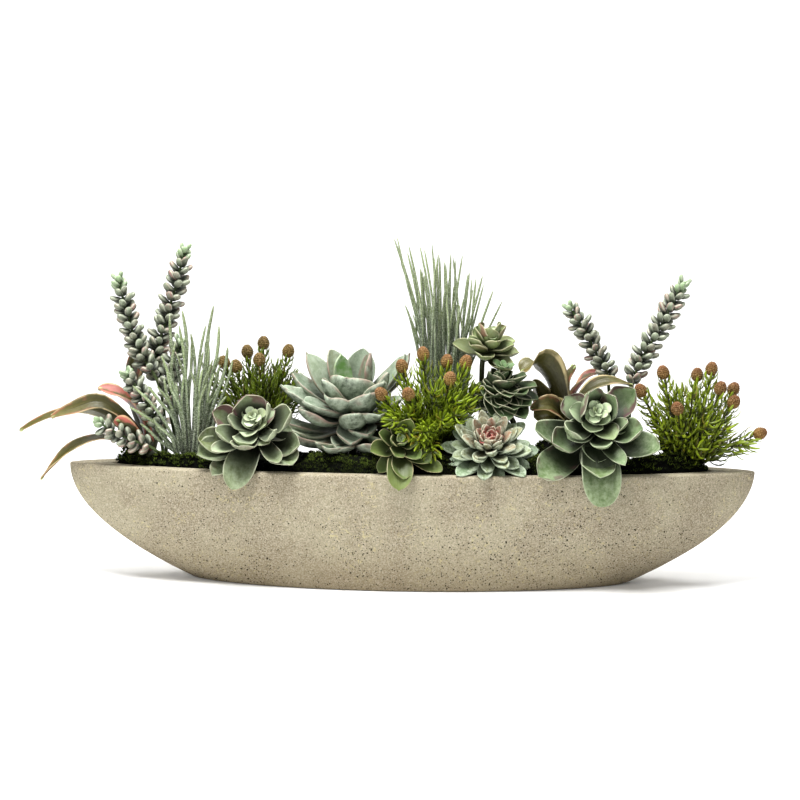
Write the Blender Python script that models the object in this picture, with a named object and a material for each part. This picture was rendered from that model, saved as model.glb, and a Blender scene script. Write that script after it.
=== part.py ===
"""A boat-shaped planter of cast fibre cement, filled with moss and artificial succulents.

Metres, +Z up. The origin is the middle of the flat base, +X runs along the boat, -Y is its front.
Lists of places and sizes are in millimetres and are turned to metres where they are used.
"""
import math
import random

import bmesh
import bpy
from mathutils import Matrix, Vector
from mathutils.bvhtree import BVHTree

MM = 0.001
GAP = 0.3 * MM  # between pieces that touch

# Planter
LENGTH = 0.914
HEIGHT = 0.153
RIM_HALF_WIDTH = 0.098
BASE_HALF_LENGTH = 0.290
BASE_HALF_WIDTH = 0.080
WALL = 0.019
END_WALL = 0.057  # thickness along X at the pointed ends
FLOOR = 0.024
EDGE = 0.003  # rounding of the rim and the base
SIDE_GAP = 1 * MM  # between the walls and what fills the hollow
PLAN_POINTS = 30
PLAN_POWER = 1.3  # 1 gives an ellipse, more draws the ends to a point

# Filling and moss
SOIL_TOP = 0.130
MOSS_EDGE = 0.150
MOSS_CROWN = 0.015  # rise of the moss from its edge to its middle
MOSS_LUMP = 0.0045
PEG_FOOT = 0.094  # how low the stems reach into the filling
CROWN_RISE = 6  # from the moss to where a clump's crown is widest, in millimetres
PEG_SIDES = 5

GOLDEN_ANGLE = math.radians(137.508)
POINTED_ROWS = (0.0, 0.48, 0.82, 1.0)  # where a leaf has its cross sections
ROUND_ROWS = (0.0, 0.5, 0.9, 1.0)
KITE_ROWS = (0.0, 0.6, 1.0)
CLEARANCE = 0.8 * MM  # kept between the leaves of two plants
BEND = math.radians(5)
MOST_BENDS = 9
OUTER_SHARE = 0.7  # the part of a leaf that is kept off its neighbours


def mm(x, y, z):
    return Vector((x, y, z)) * MM


# Meshes

def make_material(name, colour, roughness):
    made = bpy.data.materials.new(name)
    made.use_nodes = True
    shader = made.node_tree.nodes["Principled BSDF"]
    shader.inputs["Base Color"].default_value = (*colour, 1.0)
    shader.inputs["Roughness"].default_value = roughness
    return made


def add_object(name, shape, material=None, collection=None):
    verts, faces = shape
    mesh = bpy.data.meshes.new(name)
    mesh.from_pydata([tuple(v) for v in verts], [], faces)
    if material:
        mesh.materials.append(material)
    mesh.shade_smooth()
    mesh.set_sharp_from_angle(angle=math.radians(40))
    made = bpy.data.objects.new(name, mesh)
    (collection or bpy.context.scene.collection).objects.link(made)
    return made


def loft(rings):
    """A closed skin through rings of equal count, each seen anticlockwise from the far end."""
    count = len(rings[0])
    verts = [point for ring in rings for point in ring]
    faces = [tuple(reversed(range(count)))]
    for level in range(len(rings) - 1):
        for i in range(count):
            here = level * count + i
            beside = level * count + (i + 1) % count
            faces.append((here, beside, beside + count, here + count))
    faces.append(tuple(range((len(rings) - 1) * count, len(rings) * count)))
    return verts, faces


def spread_frame(points, in_hole):
    """The direction at each point of a line, and two axes across it that turn as little as they can."""
    across = Vector((1, 0, 0))
    heading = Vector((0, 0, 1))
    frames = []
    for i in range(len(points)):
        ahead = points[min(i + 1, len(points) - 1)] - points[max(i - 1, 0)]
        ahead.normalize()
        if i < 2 and in_hole:
            ahead = Vector((0, 0, 1))
        across.rotate(heading.rotation_difference(ahead))
        heading = ahead
        frames.append((ahead, across.copy(), ahead.cross(across)))
    return frames


def ring_round(centre, frame, radius, sides, turn=0.0):
    _, u, v = frame
    turns = [turn + 2 * math.pi * k / sides for k in range(sides)]
    return [centre + (u * math.cos(a) + v * math.sin(a)) * radius for a in turns]


def tube(points, radii, sides, in_hole=True):
    """A stem. The first stretch of one that stands in a hole is upright and plain."""
    frames = spread_frame(points, in_hole)
    return loft([ring_round(*spot, sides) for spot in zip(points, frames, radii)])


def blade(spine, side, widths, thickness, cup):
    """A leaf of lens section: left edge, upper face, right edge and lower face at each row.

    It starts in a point inside the stem and ends in a point.
    """
    verts = [spine[0]]
    for i, point in enumerate(spine[1:-1], 1):
        ahead = (spine[i + 1] - spine[i - 1]).normalized()
        across = (side - ahead * side.dot(ahead)).normalized()
        upper = ahead.cross(across)
        half = widths[i]
        rise = upper * (cup * half)
        core = upper * (thickness / 2)
        verts += [point - across * half + rise, point + core, point + across * half + rise, point - core]
    verts.append(spine[-1])
    faces = [(0, 1, 2), (0, 2, 3), (0, 3, 4), (0, 4, 1)]
    rows = len(spine) - 2
    for i in range(rows - 1):
        left, top, right, under = range(4 * i + 1, 4 * i + 5)
        faces += [(left, top + 4, top), (left, left + 4, top + 4)]
        faces += [(right, top, top + 4), (right, top + 4, right + 4)]
        faces += [(right, under + 4, under), (right, right + 4, under + 4)]
        faces += [(left, under, under + 4), (left, under + 4, left + 4)]
    left, top, right, under = range(4 * rows - 3, 4 * rows + 1)
    end = len(verts) - 1
    faces += [(left, end, top), (top, end, right), (right, end, under), (under, end, left)]
    return verts, faces


def sliver(root, tip, middle, side, half, thickness):
    """A grass blade: a point in the crown, two edges, a keel between them, and a tip."""
    ahead = (tip - root).normalized()
    across = (side - ahead * side.dot(ahead)).normalized()
    under = across.cross(ahead) * thickness
    verts = [root, middle - across * half + under, middle + across * half + under, tip]
    return verts, [(0, 1, 2), (0, 2, 3), (0, 3, 1), (1, 3, 2)]


def leafy_stem(rings, leaf_on):
    """A stem whose side faces are drawn out in leaves.

    For a face that bears a leaf, leaf_on gives the leaf's points: four round its girth, or none,
    and its tip.
    """
    sides = len(rings[0])
    verts = [point for ring in rings for point in ring]
    faces = [tuple(reversed(range(sides)))]
    for level in range(len(rings) - 1):
        for i in range(sides):
            here = level * sides + i
            beside = level * sides + (i + 1) % sides
            face = (here, beside, beside + sides, here + sides)
            leaf = leaf_on(level, i, [verts[k] for k in face])
            if leaf is None:
                faces += [(face[0], face[1], face[3]), (face[1], face[2], face[3])]
                continue
            if len(leaf) == 5:
                girth = tuple(range(len(verts), len(verts) + 4))
                for k in range(4):
                    faces.append((face[k], face[(k + 1) % 4], girth[(k + 1) % 4], girth[k]))
                face = girth
            verts += leaf
            end = len(verts) - 1
            faces += [(face[k], face[(k + 1) % 4], end) for k in range(4)]
    faces.append(tuple(range((len(rings) - 1) * sides, len(rings) * sides)))
    return verts, faces


def places_along(points, distances):
    """Points at the given distances along a line."""
    places = []
    for distance in distances:
        for a, b in zip(points, points[1:]):
            stretch = (b - a).length
            if distance <= stretch or b is points[-1]:
                places.append(a.lerp(b, distance / stretch))
                break
            distance -= stretch
    return places


def length_of(points):
    return sum((b - a).length for a, b in zip(points, points[1:]))


# Keeping plants clear of each other

standing = []


def tree_of(shapes):
    verts = []
    faces = []
    for part_verts, part_faces in shapes:
        base = len(verts)
        verts += [Vector(v) for v in part_verts]
        faces += [tuple(base + i for i in face) for face in part_faces]
    return BVHTree.FromPolygons(verts, faces)


def is_clear(shape, others):
    """True where the shape, a little fattened, crosses none of the others."""
    verts, faces = shape
    middle = sum((Vector(v) for v in verts), Vector()) / len(verts)
    fat = [Vector(v) + (Vector(v) - middle).normalized() * CLEARANCE for v in verts]
    tree = BVHTree.FromPolygons(fat, faces)
    return not any(tree.overlap(other) for other in others)


def outer_part(shape):
    """A leaf drawn in towards its tip, so that it no longer reaches the stem."""
    verts, faces = shape
    tip = verts[-1]
    return [tip + (v - tip) * OUTER_SHARE for v in verts], faces


def settle(make, siblings=(), strict=False):
    """The first of a leaf's positions, from its own outwards, that crosses no other plant.

    A position that crosses none of its siblings either is taken before one that does, and where
    the rule is strict, it is the only kind that will do.
    """
    found = None
    for attempt in range(MOST_BENDS):
        step = (attempt + 1) // 2 * (1 if attempt % 2 else -1)
        shape = make(step)
        if not is_clear(shape, standing):
            continue
        if is_clear(outer_part(shape), siblings):
            return shape
        if not strict:
            found = found or shape
    return found


def keep_largest_body(mesh):
    """Drops loose scraps, and fills the hollows that crossing leaves have sealed."""
    whole = bmesh.new()
    whole.from_mesh(mesh)
    whole.faces.ensure_lookup_table()
    bodies = []
    seen = set()
    for start in whole.faces:
        if start.index in seen:
            continue
        body = [start]
        seen.add(start.index)
        for face in body:
            for edge in face.edges:
                for beside in edge.link_faces:
                    if beside.index not in seen:
                        seen.add(beside.index)
                        body.append(beside)
        bodies.append(body)
    bodies.sort(key=len)
    scraps = [face for body in bodies[:-1] for face in body]
    bmesh.ops.delete(whole, geom=scraps, context="FACES")
    whole.to_mesh(mesh)
    whole.free()


def fuse(name, shapes, material):
    """Joins a plant's stem, leaves and other repeats in one solid."""
    shapes = [shape for shape in shapes if shape]
    standing.append(tree_of(shapes))
    repeats = bpy.data.collections.new(name + "_repeats")
    bpy.context.scene.collection.children.link(repeats)
    for i, shape in enumerate(shapes[1:]):
        add_object(f"{name}_repeat_{i}", shape, collection=repeats)
    whole = add_object(name, shapes[0], material)
    join = whole.modifiers.new("Join repeats", "BOOLEAN")
    join.operation = "UNION"
    join.operand_type = "COLLECTION"
    join.collection = repeats
    join.solver = "EXACT"
    graph = bpy.context.evaluated_depsgraph_get()
    joined = bpy.data.meshes.new_from_object(whole.evaluated_get(graph))
    whole.modifiers.clear()
    whole.data = joined
    keep_largest_body(joined)
    joined.materials.clear()
    joined.materials.append(material)
    for repeat in list(repeats.objects):
        bpy.data.objects.remove(repeat, do_unlink=True)
    bpy.data.collections.remove(repeats)
    return whole


# The planter, its filling and the moss

def hull_size(height):
    """Half-length and half-width of the outside at a height. Both swell in a parabola to the rim."""
    swell = 1 - (1 - height / HEIGHT) ** 2
    return (BASE_HALF_LENGTH + (LENGTH / 2 - BASE_HALF_LENGTH) * swell,
            BASE_HALF_WIDTH + (RIM_HALF_WIDTH - BASE_HALF_WIDTH) * swell)


def hollow_size(height):
    half_length, half_width = hull_size(height)
    drawn_in = END_WALL * (0.55 + 0.45 * height / HEIGHT)
    return half_length - drawn_in, half_width - WALL


def boat_ring(half_length, half_width, height):
    ring = []
    for i in range(PLAN_POINTS):
        turn = 2 * math.pi * i / PLAN_POINTS
        side = math.sin(turn)
        reach = half_width * abs(side) ** PLAN_POWER
        ring.append((half_length * math.cos(turn), math.copysign(reach, side), height))
    return ring


def build_planter(material):
    foot_length, foot_width = hull_size(0)
    rings = [boat_ring(foot_length - EDGE, foot_width - EDGE, 0)]
    for height in (EDGE, 0.2 * HEIGHT, 0.44 * HEIGHT, 0.72 * HEIGHT, HEIGHT - EDGE):
        rings.append(boat_ring(*hull_size(height), height))
    rim_length, rim_width = hull_size(HEIGHT)
    rings.append(boat_ring(rim_length - EDGE, rim_width - EDGE, HEIGHT))
    rings.append(boat_ring(*hollow_size(HEIGHT), HEIGHT))
    for height in (SOIL_TOP, 0.5 * HEIGHT, FLOOR):
        rings.append(boat_ring(*hollow_size(height), height))
    shape = loft(rings)
    standing.append(tree_of([shape]))
    add_object("planter", shape, material)


def inside_ring(height):
    half_length, half_width = hollow_size(height)
    return boat_ring(half_length - 3 * SIDE_GAP, half_width - SIDE_GAP, height)


def build_soil(material):
    rings = [inside_ring(height)[::2] for height in (FLOOR + GAP, 0.5 * HEIGHT, SOIL_TOP)]
    return add_object("soil_fill", loft(rings), material)


def moss_share(x, y):
    """How far a place lies from the middle of the moss towards its edge, from 0 to 1."""
    half_length, half_width = hollow_size(MOSS_EDGE)
    low = 0.001
    high = 1.0
    for _ in range(20):
        share = (low + high) / 2
        reach = (abs(y) / half_width / share) ** (2 / PLAN_POWER) + (x / half_length / share) ** 2
        if reach > 1:
            low = share
        else:
            high = share
    return high


def moss_top(x, y, share):
    """Height of the moss over a place at that share."""
    lump = math.sin(x * 61) * math.sin(y * 83 + x * 37) + 0.6 * math.sin(x * 139 + 1.3) * math.cos(y * 97)
    return MOSS_EDGE + MOSS_CROWN * (1 - share ** 2) + MOSS_LUMP * lump * (1 - share ** 4)


def build_moss(material):
    low = inside_ring(SOIL_TOP + GAP)
    edge = inside_ring(MOSS_EDGE)
    rings = [low, edge]
    for share in (0.82, 0.45):
        ring = []
        for x, y, _ in edge:
            ring.append((x * share, y * share, moss_top(x * share, y * share, share)))
        rings.append(ring)
    shape = loft(rings)
    standing.append(tree_of([shape]))
    return add_object("moss", shape, material)


def cut_holes(bodies):
    """A plain hole through the moss and into the filling for each stem."""
    holes = bpy.data.collections.new("stem_holes")
    bpy.context.scene.collection.children.link(holes)
    for name, (x, y, radius) in PEGS.items():
        points = [mm(x, y, 0) + Vector((0, 0, z)) for z in (PEG_FOOT - GAP, 0.5 * HEIGHT, 1.4 * HEIGHT)]
        cutter = add_object(name + "_hole", tube(points, [radius * MM + 2 * GAP] * 3, PEG_SIDES), None, holes)
        cutter.hide_render = True
        cutter.display_type = "WIRE"
    for body in bodies:
        cut = body.modifiers.new("Stem holes", "BOOLEAN")
        cut.operation = "DIFFERENCE"
        cut.operand_type = "COLLECTION"
        cut.collection = holes
        cut.solver = "EXACT"


# Where each stem goes into the filling: x, y and radius in millimetres
PEGS = {
    "echeveria_left": (-205, -20, 4),
    "rosette_large": (-80, 8, 6),
    "echeveria_hanging": (-12, -52, 3.5),
    "rosette_upper": (92, 30, 3.5),
    "rosette_dark": (134, 8, 4),
    "echeveria_pink": (99, -34, 4),
    "echeveria_right": (232, -20, 4.5),
    "strap_left": (-351, 6, 6),
    "strap_right": (197, 14, 6),
    "donkey_tail_1": (-331, 17, 2.5),
    "donkey_tail_2": (-318, 30, 2.5),
    "donkey_tail_3": (-331, -8, 2.5),
    "donkey_tail_4": (-332, -25, 2.5),
    "donkey_tail_5": (-306, 12, 2.5),
    "donkey_tail_6": (266, 26, 2.5),
    "donkey_tail_7": (291, 26, 2.5),
    "grass_left": (-291, -16, 8),
    "grass_tall": (46, 44, 8),
    "bush_left": (-204, 32, 6),
    "bush_centre": (26, -4, 6),
    "bush_right": (368, 0, 6),
}


def peg_points(name, top):
    x, y, _ = PEGS[name]
    return [Vector((x * MM, y * MM, PEG_FOOT)), Vector((x * MM, y * MM, top * MM))]


def crown_height(name):
    """Where a clump's crown is widest, a little above the moss, in millimetres."""
    x, y, _ = PEGS[name]
    place = (x * MM, y * MM)
    return moss_top(*place, moss_share(*place)) / MM + CROWN_RISE


def crowned_peg(name, crown, rise):
    """A peg with a crown above the moss, which the blades, twigs or straps leave."""
    x, y, radius = PEGS[name]
    height = crown_height(name)
    through = peg_points(name, height - 3) + [mm(x, y, height), mm(x, y, height + rise)]
    return tube(through, [radius * MM, radius * MM, crown * MM, 0.6 * crown * MM], PEG_SIDES)


# Rosettes

# heart and axis of each rosette, how far down the stem its leaves start, and the stem's thickness
# there; its leaves' shape (rows of cross sections, thickness, cup, where they are widest, and two
# powers for the tip); the leaves that spiral out from the heart (count, first and last length,
# first and last width, first and last lift in degrees); and its outer leaves by hand: right, back
# and up from the heart to the tip, width, and bow if it isn't the usual one. A bow above zero
# hollows the upper face, and one below zero arches the leaf.
ROSETTES = {
    "echeveria_left": {
        "heart": (-205, -50, 209), "axis": (-0.06, -0.78, 0.62), "neck": 26, "core": 14,
        "rows": ROUND_ROWS, "plump": 3.0, "cup": 0.28, "widest": 0.68, "tip": (2.4, 0.5),
        "inner": (15, 12, 48, 12, 31, 84, 6),
        "outer": [
            (-9, -23, 42, 40), (49, -32, 23, 38), (-53, -14, 19, 34), (-70, -25, -15, 34),
            (61, -42, -19, 32), (-71, -32, -34, 36), (53, -50, -43, 36), (-50, -46, -59, 36),
            (-23, -50, -76, 38, -0.08),
        ],
    },
    "rosette_large": {
        "heart": (-78, 2, 244), "axis": (0.05, -0.30, 0.95), "neck": 52, "core": 24,
        "rows": POINTED_ROWS, "plump": 7.5, "cup": 0.5, "widest": 0.6, "tip": (1.9, 0.72),
        "inner": (5, 24, 44, 16, 34, 84, 62),
        "outer": [
            (10, 24, 64, 48), (-34, 26, 62, 44), (-40, -42, 26, 46), (-66, 22, 58, 46),
            (66, 8, 58, 42), (72, 34, 58, 42), (-84, 14, 30, 48), (40, -46, 26, 46),
            (-90, -22, 10, 48), (62, -34, 2, 46), (-20, 72, 20, 44), (-70, -48, -12, 48),
            (46, 64, 8, 42), (66, 4, -24, 44), (-60, 56, -10, 40), (-84, -30, -41, 46),
            (50, -42, -52, 46), (4, -64, -16, 46), (6, 66, -30, 40), (-18, -60, -63, 44),
        ],
    },
    "echeveria_hanging": {
        "heart": (-15, -76, 195), "axis": (0.20, -0.80, 0.56), "neck": 22, "core": 9,
        "rows": ROUND_ROWS, "plump": 2.6, "cup": 0.28, "widest": 0.68, "tip": (2.4, 0.5),
        "inner": (9, 9, 33, 9, 22, 80, 30),
        "outer": [
            (37, -15, -25, 28), (4, -30, -48, 30), (-38, -21, -11, 26), (12, -6, 30, 24),
            (53, -13, -40, 22), (-3, -32, -64, 34, -0.10),
        ],
    },
    "echeveria_pink": {
        "heart": (99, -68, 196), "axis": (0.0, -0.72, 0.69), "neck": 20, "core": 18,
        "rows": KITE_ROWS, "plump": 5.0, "cup": 0.2, "widest": 0.6, "tip": (1.5, 0.9),
        "inner": (36, 13, 68, 9, 24, 84, -8),
        "outer": [],
    },
    "rosette_upper": {
        "heart": (100, 12, 322), "axis": (0.10, -0.42, 0.90), "neck": 24, "core": 11,
        "rows": POINTED_ROWS, "plump": 3.0, "cup": 0.45, "widest": 0.58, "tip": (1.7, 0.7),
        "inner": (16, 14, 50, 14, 32, 82, 4),
        "outer": [],
    },
    "rosette_dark": {
        "heart": (118, -8, 283), "axis": (0.16, -0.42, 0.89), "neck": 62, "core": 13,
        "rows": POINTED_ROWS, "plump": 3.0, "cup": 0.42, "widest": 0.6, "tip": (1.8, 0.66),
        "inner": (21, 14, 48, 14, 32, 80, -8),
        "outer": [],
    },
    "echeveria_right": {
        "heart": (235, -54, 222), "axis": (0.03, -0.82, 0.57), "neck": 34, "core": 16,
        "rows": ROUND_ROWS, "plump": 3.2, "cup": 0.28, "widest": 0.68, "tip": (2.4, 0.5),
        "inner": (17, 12, 56, 14, 38, 84, 4),
        "outer": [
            (-12, -34, 39, 44), (50, -6, 43, 42), (56, -42, -5, 36), (-58, -45, -23, 36),
            (-78, -28, -9, 38), (80, -33, -31, 40), (-76, -49, -67, 42), (2, -62, -65, 42),
            (8, -38, -106, 46, -0.20),
        ],
    },
}
NECK_SHARE = 0.34  # width of a leaf where it leaves the stem
LEAF_BOW = 0.10
SHOULDER = 6  # from the plain stem to its leafy part, in millimetres


def leaf_width(share, widest, tip):
    """A leaf's width along its length, as a share of its widest."""
    if share <= widest:
        return NECK_SHARE + (1 - NECK_SHARE) * math.sin(math.pi / 2 * share / widest)
    beyond = (share - widest) / (1 - widest)
    power, fall = tip
    return (1 - beyond ** power) ** fall


def rosette_leaf(root, tip, axis, plant, width, bow, step):
    """A leaf from the stem to its tip, swung by steps towards or away from the rosette's axis."""
    reach = tip - root
    away = (reach - axis * reach.dot(axis)).normalized()
    side = away.cross(axis)
    reach = Matrix.Rotation(step * BEND, 3, side) @ reach
    upper = side.cross(reach).normalized()
    spine = []
    widths = []
    for share in plant["rows"]:
        sag = upper * (4 * share * (1 - share) * bow * reach.length)
        spine.append(root + reach * share - sag)
        widths.append(width / 2 * leaf_width(share, plant["widest"], plant["tip"]))
    return blade(spine, -side, widths, plant["plump"] * MM, plant["cup"])


def build_rosette(name, material):
    plant = ROSETTES[name]
    heart = mm(*plant["heart"])
    axis = Vector(plant["axis"]).normalized()
    neck = plant["neck"] * MM
    radius = PEGS[name][2] * MM
    core = plant["core"] * MM
    foot = heart - axis * neck
    bend = foot - axis * SHOULDER * MM
    through = peg_points(name, bend.z / MM - 1.5 * SHOULDER) + [bend, foot, heart]
    stem = tube(through, [radius, radius, 0.5 * (radius + core), core, 0.5 * core], PEG_SIDES)
    shapes = [stem]
    u = axis.orthogonal().normalized()
    v = axis.cross(u)
    outer = plant["outer"]
    for i, leaf in enumerate(outer):
        right, back, up, width = leaf[:4]
        bow = leaf[4] if len(leaf) == 5 else LEAF_BOW
        root = heart - axis * neck * (0.3 + 0.65 * (i + 1) / len(outer))
        tip = heart + mm(right, back, up)
        shapes.append(settle(lambda step: rosette_leaf(root, tip, axis, plant, width * MM, bow, step)))
    count, short, long, thin, wide, steep, flat = plant["inner"]
    for i in range(count):
        share = i / (count - 1)
        turn = i * GOLDEN_ANGLE
        lift = math.radians(steep + (flat - steep) * share)
        away = u * math.cos(turn) + v * math.sin(turn)
        root = heart - axis * neck * (0.15 + share * (0.2 if outer else 0.8))
        reach = (away * math.cos(lift) + axis * math.sin(lift)) * (short + (long - short) * share ** 0.8) * MM
        width = (thin + (wide - thin) * share) * MM
        tip = root + reach
        shapes.append(settle(lambda step: rosette_leaf(root, tip, axis, plant, width, LEAF_BOW, step)))
    fuse(name, shapes, material)


# Strap leaves

# Each leaf: its route from the base, its width, and the way its right edge points
STRAPS = {
    "strap_left": [
        ([(-384, 0, 198), (-430, -4, 222), (-480, -8, 215), (-522, -8, 194)], 23, (0.1, -0.7, -0.7)),
        ([(-370, -10, 200), (-412, -20, 234), (-448, -24, 226), (-477, -26, 216)], 24, (0.1, -0.7, -0.7)),
        ([(-366, 14, 212), (-392, 20, 238), (-424, 22, 250)], 30, (0.1, -0.7, -0.5)),
        ([(-384, 30, 225), (-390, 36, 268), (-378, 44, 300), (-358, 52, 292), (-351, 52, 266)],
         30, (0.5, -1, 0)),
        ([(-364, -20, 186), (-378, -36, 206), (-392, -46, 214)], 38, (0.9, -0.2, 0.45)),
        ([(-386, -8, 180), (-414, -20, 187), (-445, -30, 176), (-468, -36, 155), (-487, -38, 133)],
         23, (0.1, -0.7, -0.6)),
        ([(-352, 34, 196), (-344, 62, 206), (-340, 90, 196)], 26, (1, 0.1, 0)),
    ],
    "strap_right": [
        ([(193, 6, 232), (182, 2, 274), (162, -2, 292), (141, -4, 282)], 38, (0.75, -0.7, 0.1)),
        ([(199, 22, 240), (203, 26, 270), (217, 28, 290)], 28, (0.8, -0.6, 0)),
        ([(196, -2, 216), (180, -14, 238), (154, -20, 233)], 28, (0.2, -0.7, -0.6)),
        ([(210, 6, 222), (234, 0, 258), (262, -2, 269), (293, 2, 264)], 30, (0.1, 0.8, 0.6)),
        ([(212, 34, 236), (236, 44, 272), (264, 48, 278)], 28, (0.1, 1, 0.4)),
        ([(200, 46, 206), (206, 76, 226), (214, 104, 222)], 26, (-1, 0.1, 0)),
    ],
}
STRAP_ROWS = 5
STRAP_PLUMP = 2.4
STRAP_CUP = 0.35
STRAP_CROWN = 11


def smooth_route(points, count):
    """Points read evenly from a smooth curve through the given ones."""
    route = []
    last = len(points) - 1
    for i in range(count + 1):
        place = i / count * last
        k = min(int(place), last - 1)
        t = place - k
        before = points[max(k - 1, 0)]
        after = points[min(k + 2, last)]
        a = points[k]
        b = points[k + 1]
        route.append(0.5 * (2 * a + (b - before) * t + (2 * before - 5 * a + 4 * b - after) * t ** 2
                            + (3 * a - before - 3 * b + after) * t ** 3))
    return route


def strap_width(share):
    """A strap leaf keeps its width for most of its length and ends in a short point."""
    rise = 0.55 + 0.45 * math.sin(math.pi / 2 * min(1, share / 0.4))
    return rise * (1 - max(0, (share - 0.45) / 0.55) ** 2.2) ** 0.7


def build_strap(name, material):
    x, y, _ = PEGS[name]
    shapes = [crowned_peg(name, STRAP_CROWN, 9)]
    siblings = []
    for points, width, side in STRAPS[name]:
        first = points[0]
        outward = Vector((first[0] - x, first[1] - y, 0)).normalized()
        base = mm(x, y, crown_height(name) + 4) + outward * (0.3 * STRAP_CROWN * MM)

        def leaf(step):
            swing = Matrix.Rotation(step * BEND / 2, 3, "Z")
            through = [base] + [base + swing @ (mm(*p) - base) for p in points]
            spine = smooth_route(through, STRAP_ROWS)
            widths = [width / 2 * MM * strap_width(i / STRAP_ROWS) for i in range(STRAP_ROWS)]
            return blade(spine, Vector(side), widths, STRAP_PLUMP * MM, STRAP_CUP)
        found = settle(leaf, siblings)
        siblings.append(tree_of([found]))
        shapes.append(found)
    fuse(name, shapes, material)


# Bean-leaved stems

# Each stem: its route from the moss to the tip, the share of it that is bare, and bean length
TAILS = {
    "donkey_tail_1": ([(-338, 14, 249), (-365, 12, 299), (-382, 12, 350), (-394, 12, 396)], 0.44, 15),
    "donkey_tail_2": ([(-334, 32, 241), (-350, 33, 280), (-332, 34, 349), (-318, 36, 400), (-310, 38, 436)],
                      0.34, 16),
    "donkey_tail_3": ([(-338, -10, 205), (-353, -13, 235), (-377, -16, 272)], 0.28, 14),
    "donkey_tail_4": ([(-345, -32, 178), (-374, -40, 190), (-408, -44, 210)], 0.16, 14),
    "donkey_tail_5": ([(-318, 12, 220), (-326, 12, 262), (-312, 12, 314)], 0.40, 14),
    "donkey_tail_6": ([(262, 28, 270), (246, 30, 304), (226, 30, 340), (208, 30, 366)], 0.44, 15),
    "donkey_tail_7": ([(293, 28, 245), (302, 31, 288), (330, 33, 340), (360, 35, 400)], 0.38, 16),
}
STEM_SHARE = 0.85  # thickness of a square stem in its hole
BEAN_RADIUS = 4.7
BEAN_LIFT = math.radians(36)
BEAN_PITCH = 9.2
BARE_RINGS = 3
TAIL_FOOT = 168  # height where the stem leaves the upright, in millimetres
TAIL_TWIST = math.radians(17)


def build_tail(name, material):
    """A square stem. Each stretch of its leafy part carries two beans, and the next the other two."""
    route, bare, bean_length = TAILS[name]
    radius = PEGS[name][2] * STEM_SHARE * MM
    upright = peg_points(name, TAIL_FOOT)
    fine = smooth_route(upright[1:] + [mm(*p) for p in route], 60)
    whole = length_of(fine)
    first = bare * whole
    stretches = round((whole - first) / (BEAN_PITCH * MM))
    distances = [first * k / BARE_RINGS for k in range(BARE_RINGS)]
    distances += [first + (whole - first) * k / stretches for k in range(stretches + 1)]
    points = upright[:1] + places_along(fine, distances)
    frames = spread_frame(points, True)
    rings = []
    for i, point in enumerate(points):
        thinner = max(0, i - 1) / (len(points) - 2)
        turn = TAIL_TWIST * max(0, i - 1 - BARE_RINGS)
        rings.append(ring_round(point, frames[i], radius * (1 - 0.4 * thinner), 4, turn))
    start = 1 + BARE_RINGS

    def leaf_on(level, side, corners):
        if level < start or (level + side) % 2:
            return None
        young = max(0, ((level - start) / stretches - 0.75) / 0.25)
        length = bean_length * MM * (1 - 0.45 * young)
        girth = BEAN_RADIUS * MM * (1 - 0.35 * young)
        base = sum(corners, Vector()) / 4
        ahead = frames[level][0]
        away = base - points[level].lerp(points[level + 1], 0.5)
        away = (away - ahead * away.dot(ahead)).normalized()

        def bean(step):
            lift = BEAN_LIFT + math.radians(30) * young + step * BEND * 1.5
            out = away * math.cos(lift) + ahead * math.sin(lift)
            along = (ahead - out * ahead.dot(out)).normalized() * girth * 0.75
            across = along.cross(out)
            middle = base + out * 0.68 * length
            round_it = [middle - along - across, middle - along + across,
                        middle + along + across, middle + along - across]
            verts = [base] + round_it + [base + out * length]
            faces = []
            for k in range(4):
                beside = 1 + (k + 1) % 4
                faces += [(0, beside, 1 + k), (1 + k, beside, 5)]
            return verts, faces
        found = settle(bean)
        return found[0][1:] if found else None

    shape = leafy_stem(rings, leaf_on)
    standing.append(tree_of([shape]))
    add_object(name, shape, material)


# Grass clumps

# Each clump: tips by hand, further blades by a seeded draw with its seed, count, the middle and
# half-width of the fan, and its lowest and highest tips, and the blade's width
GRASSES = {
    "grass_left": {
        "tips": [
            (-264, -10, 364), (-304, -20, 357), (-323, -5, 350), (-255, -25, 338), (-244, -20, 310),
            (-306, -34, 338), (-276, 2, 337), (-266, -34, 326), (-294, -12, 327), (-330, -28, 298),
            (-347, -34, 258), (-367, -32, 258), (-370, -40, 231), (-239, -10, 292), (-244, -34, 246),
        ],
        "seed": 11, "more": 15, "fan": (-290, 42), "depth": (-14, 28), "heights": (232, 318), "width": 6.2,
    },
    "grass_tall": {
        "tips": [
            (-29, 44, 456), (-25, 50, 458), (-9, 42, 447), (6, 52, 446), (12, 40, 442), (22, 48, 452),
            (33, 60, 433), (48, 44, 437), (64, 52, 435), (74, 60, 412), (92, 56, 408), (94, 66, 396),
            (107, 60, 388), (120, 62, 374), (-20, 56, 424), (-13, 44, 367), (-11, 60, 438),
        ],
        "seed": 5, "more": 16, "fan": (38, 50), "depth": (54, 26), "heights": (330, 425), "width": 4.8,
    },
}
GRASS_CROWN = 13
BLADE_KEEL = 1.6


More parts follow.
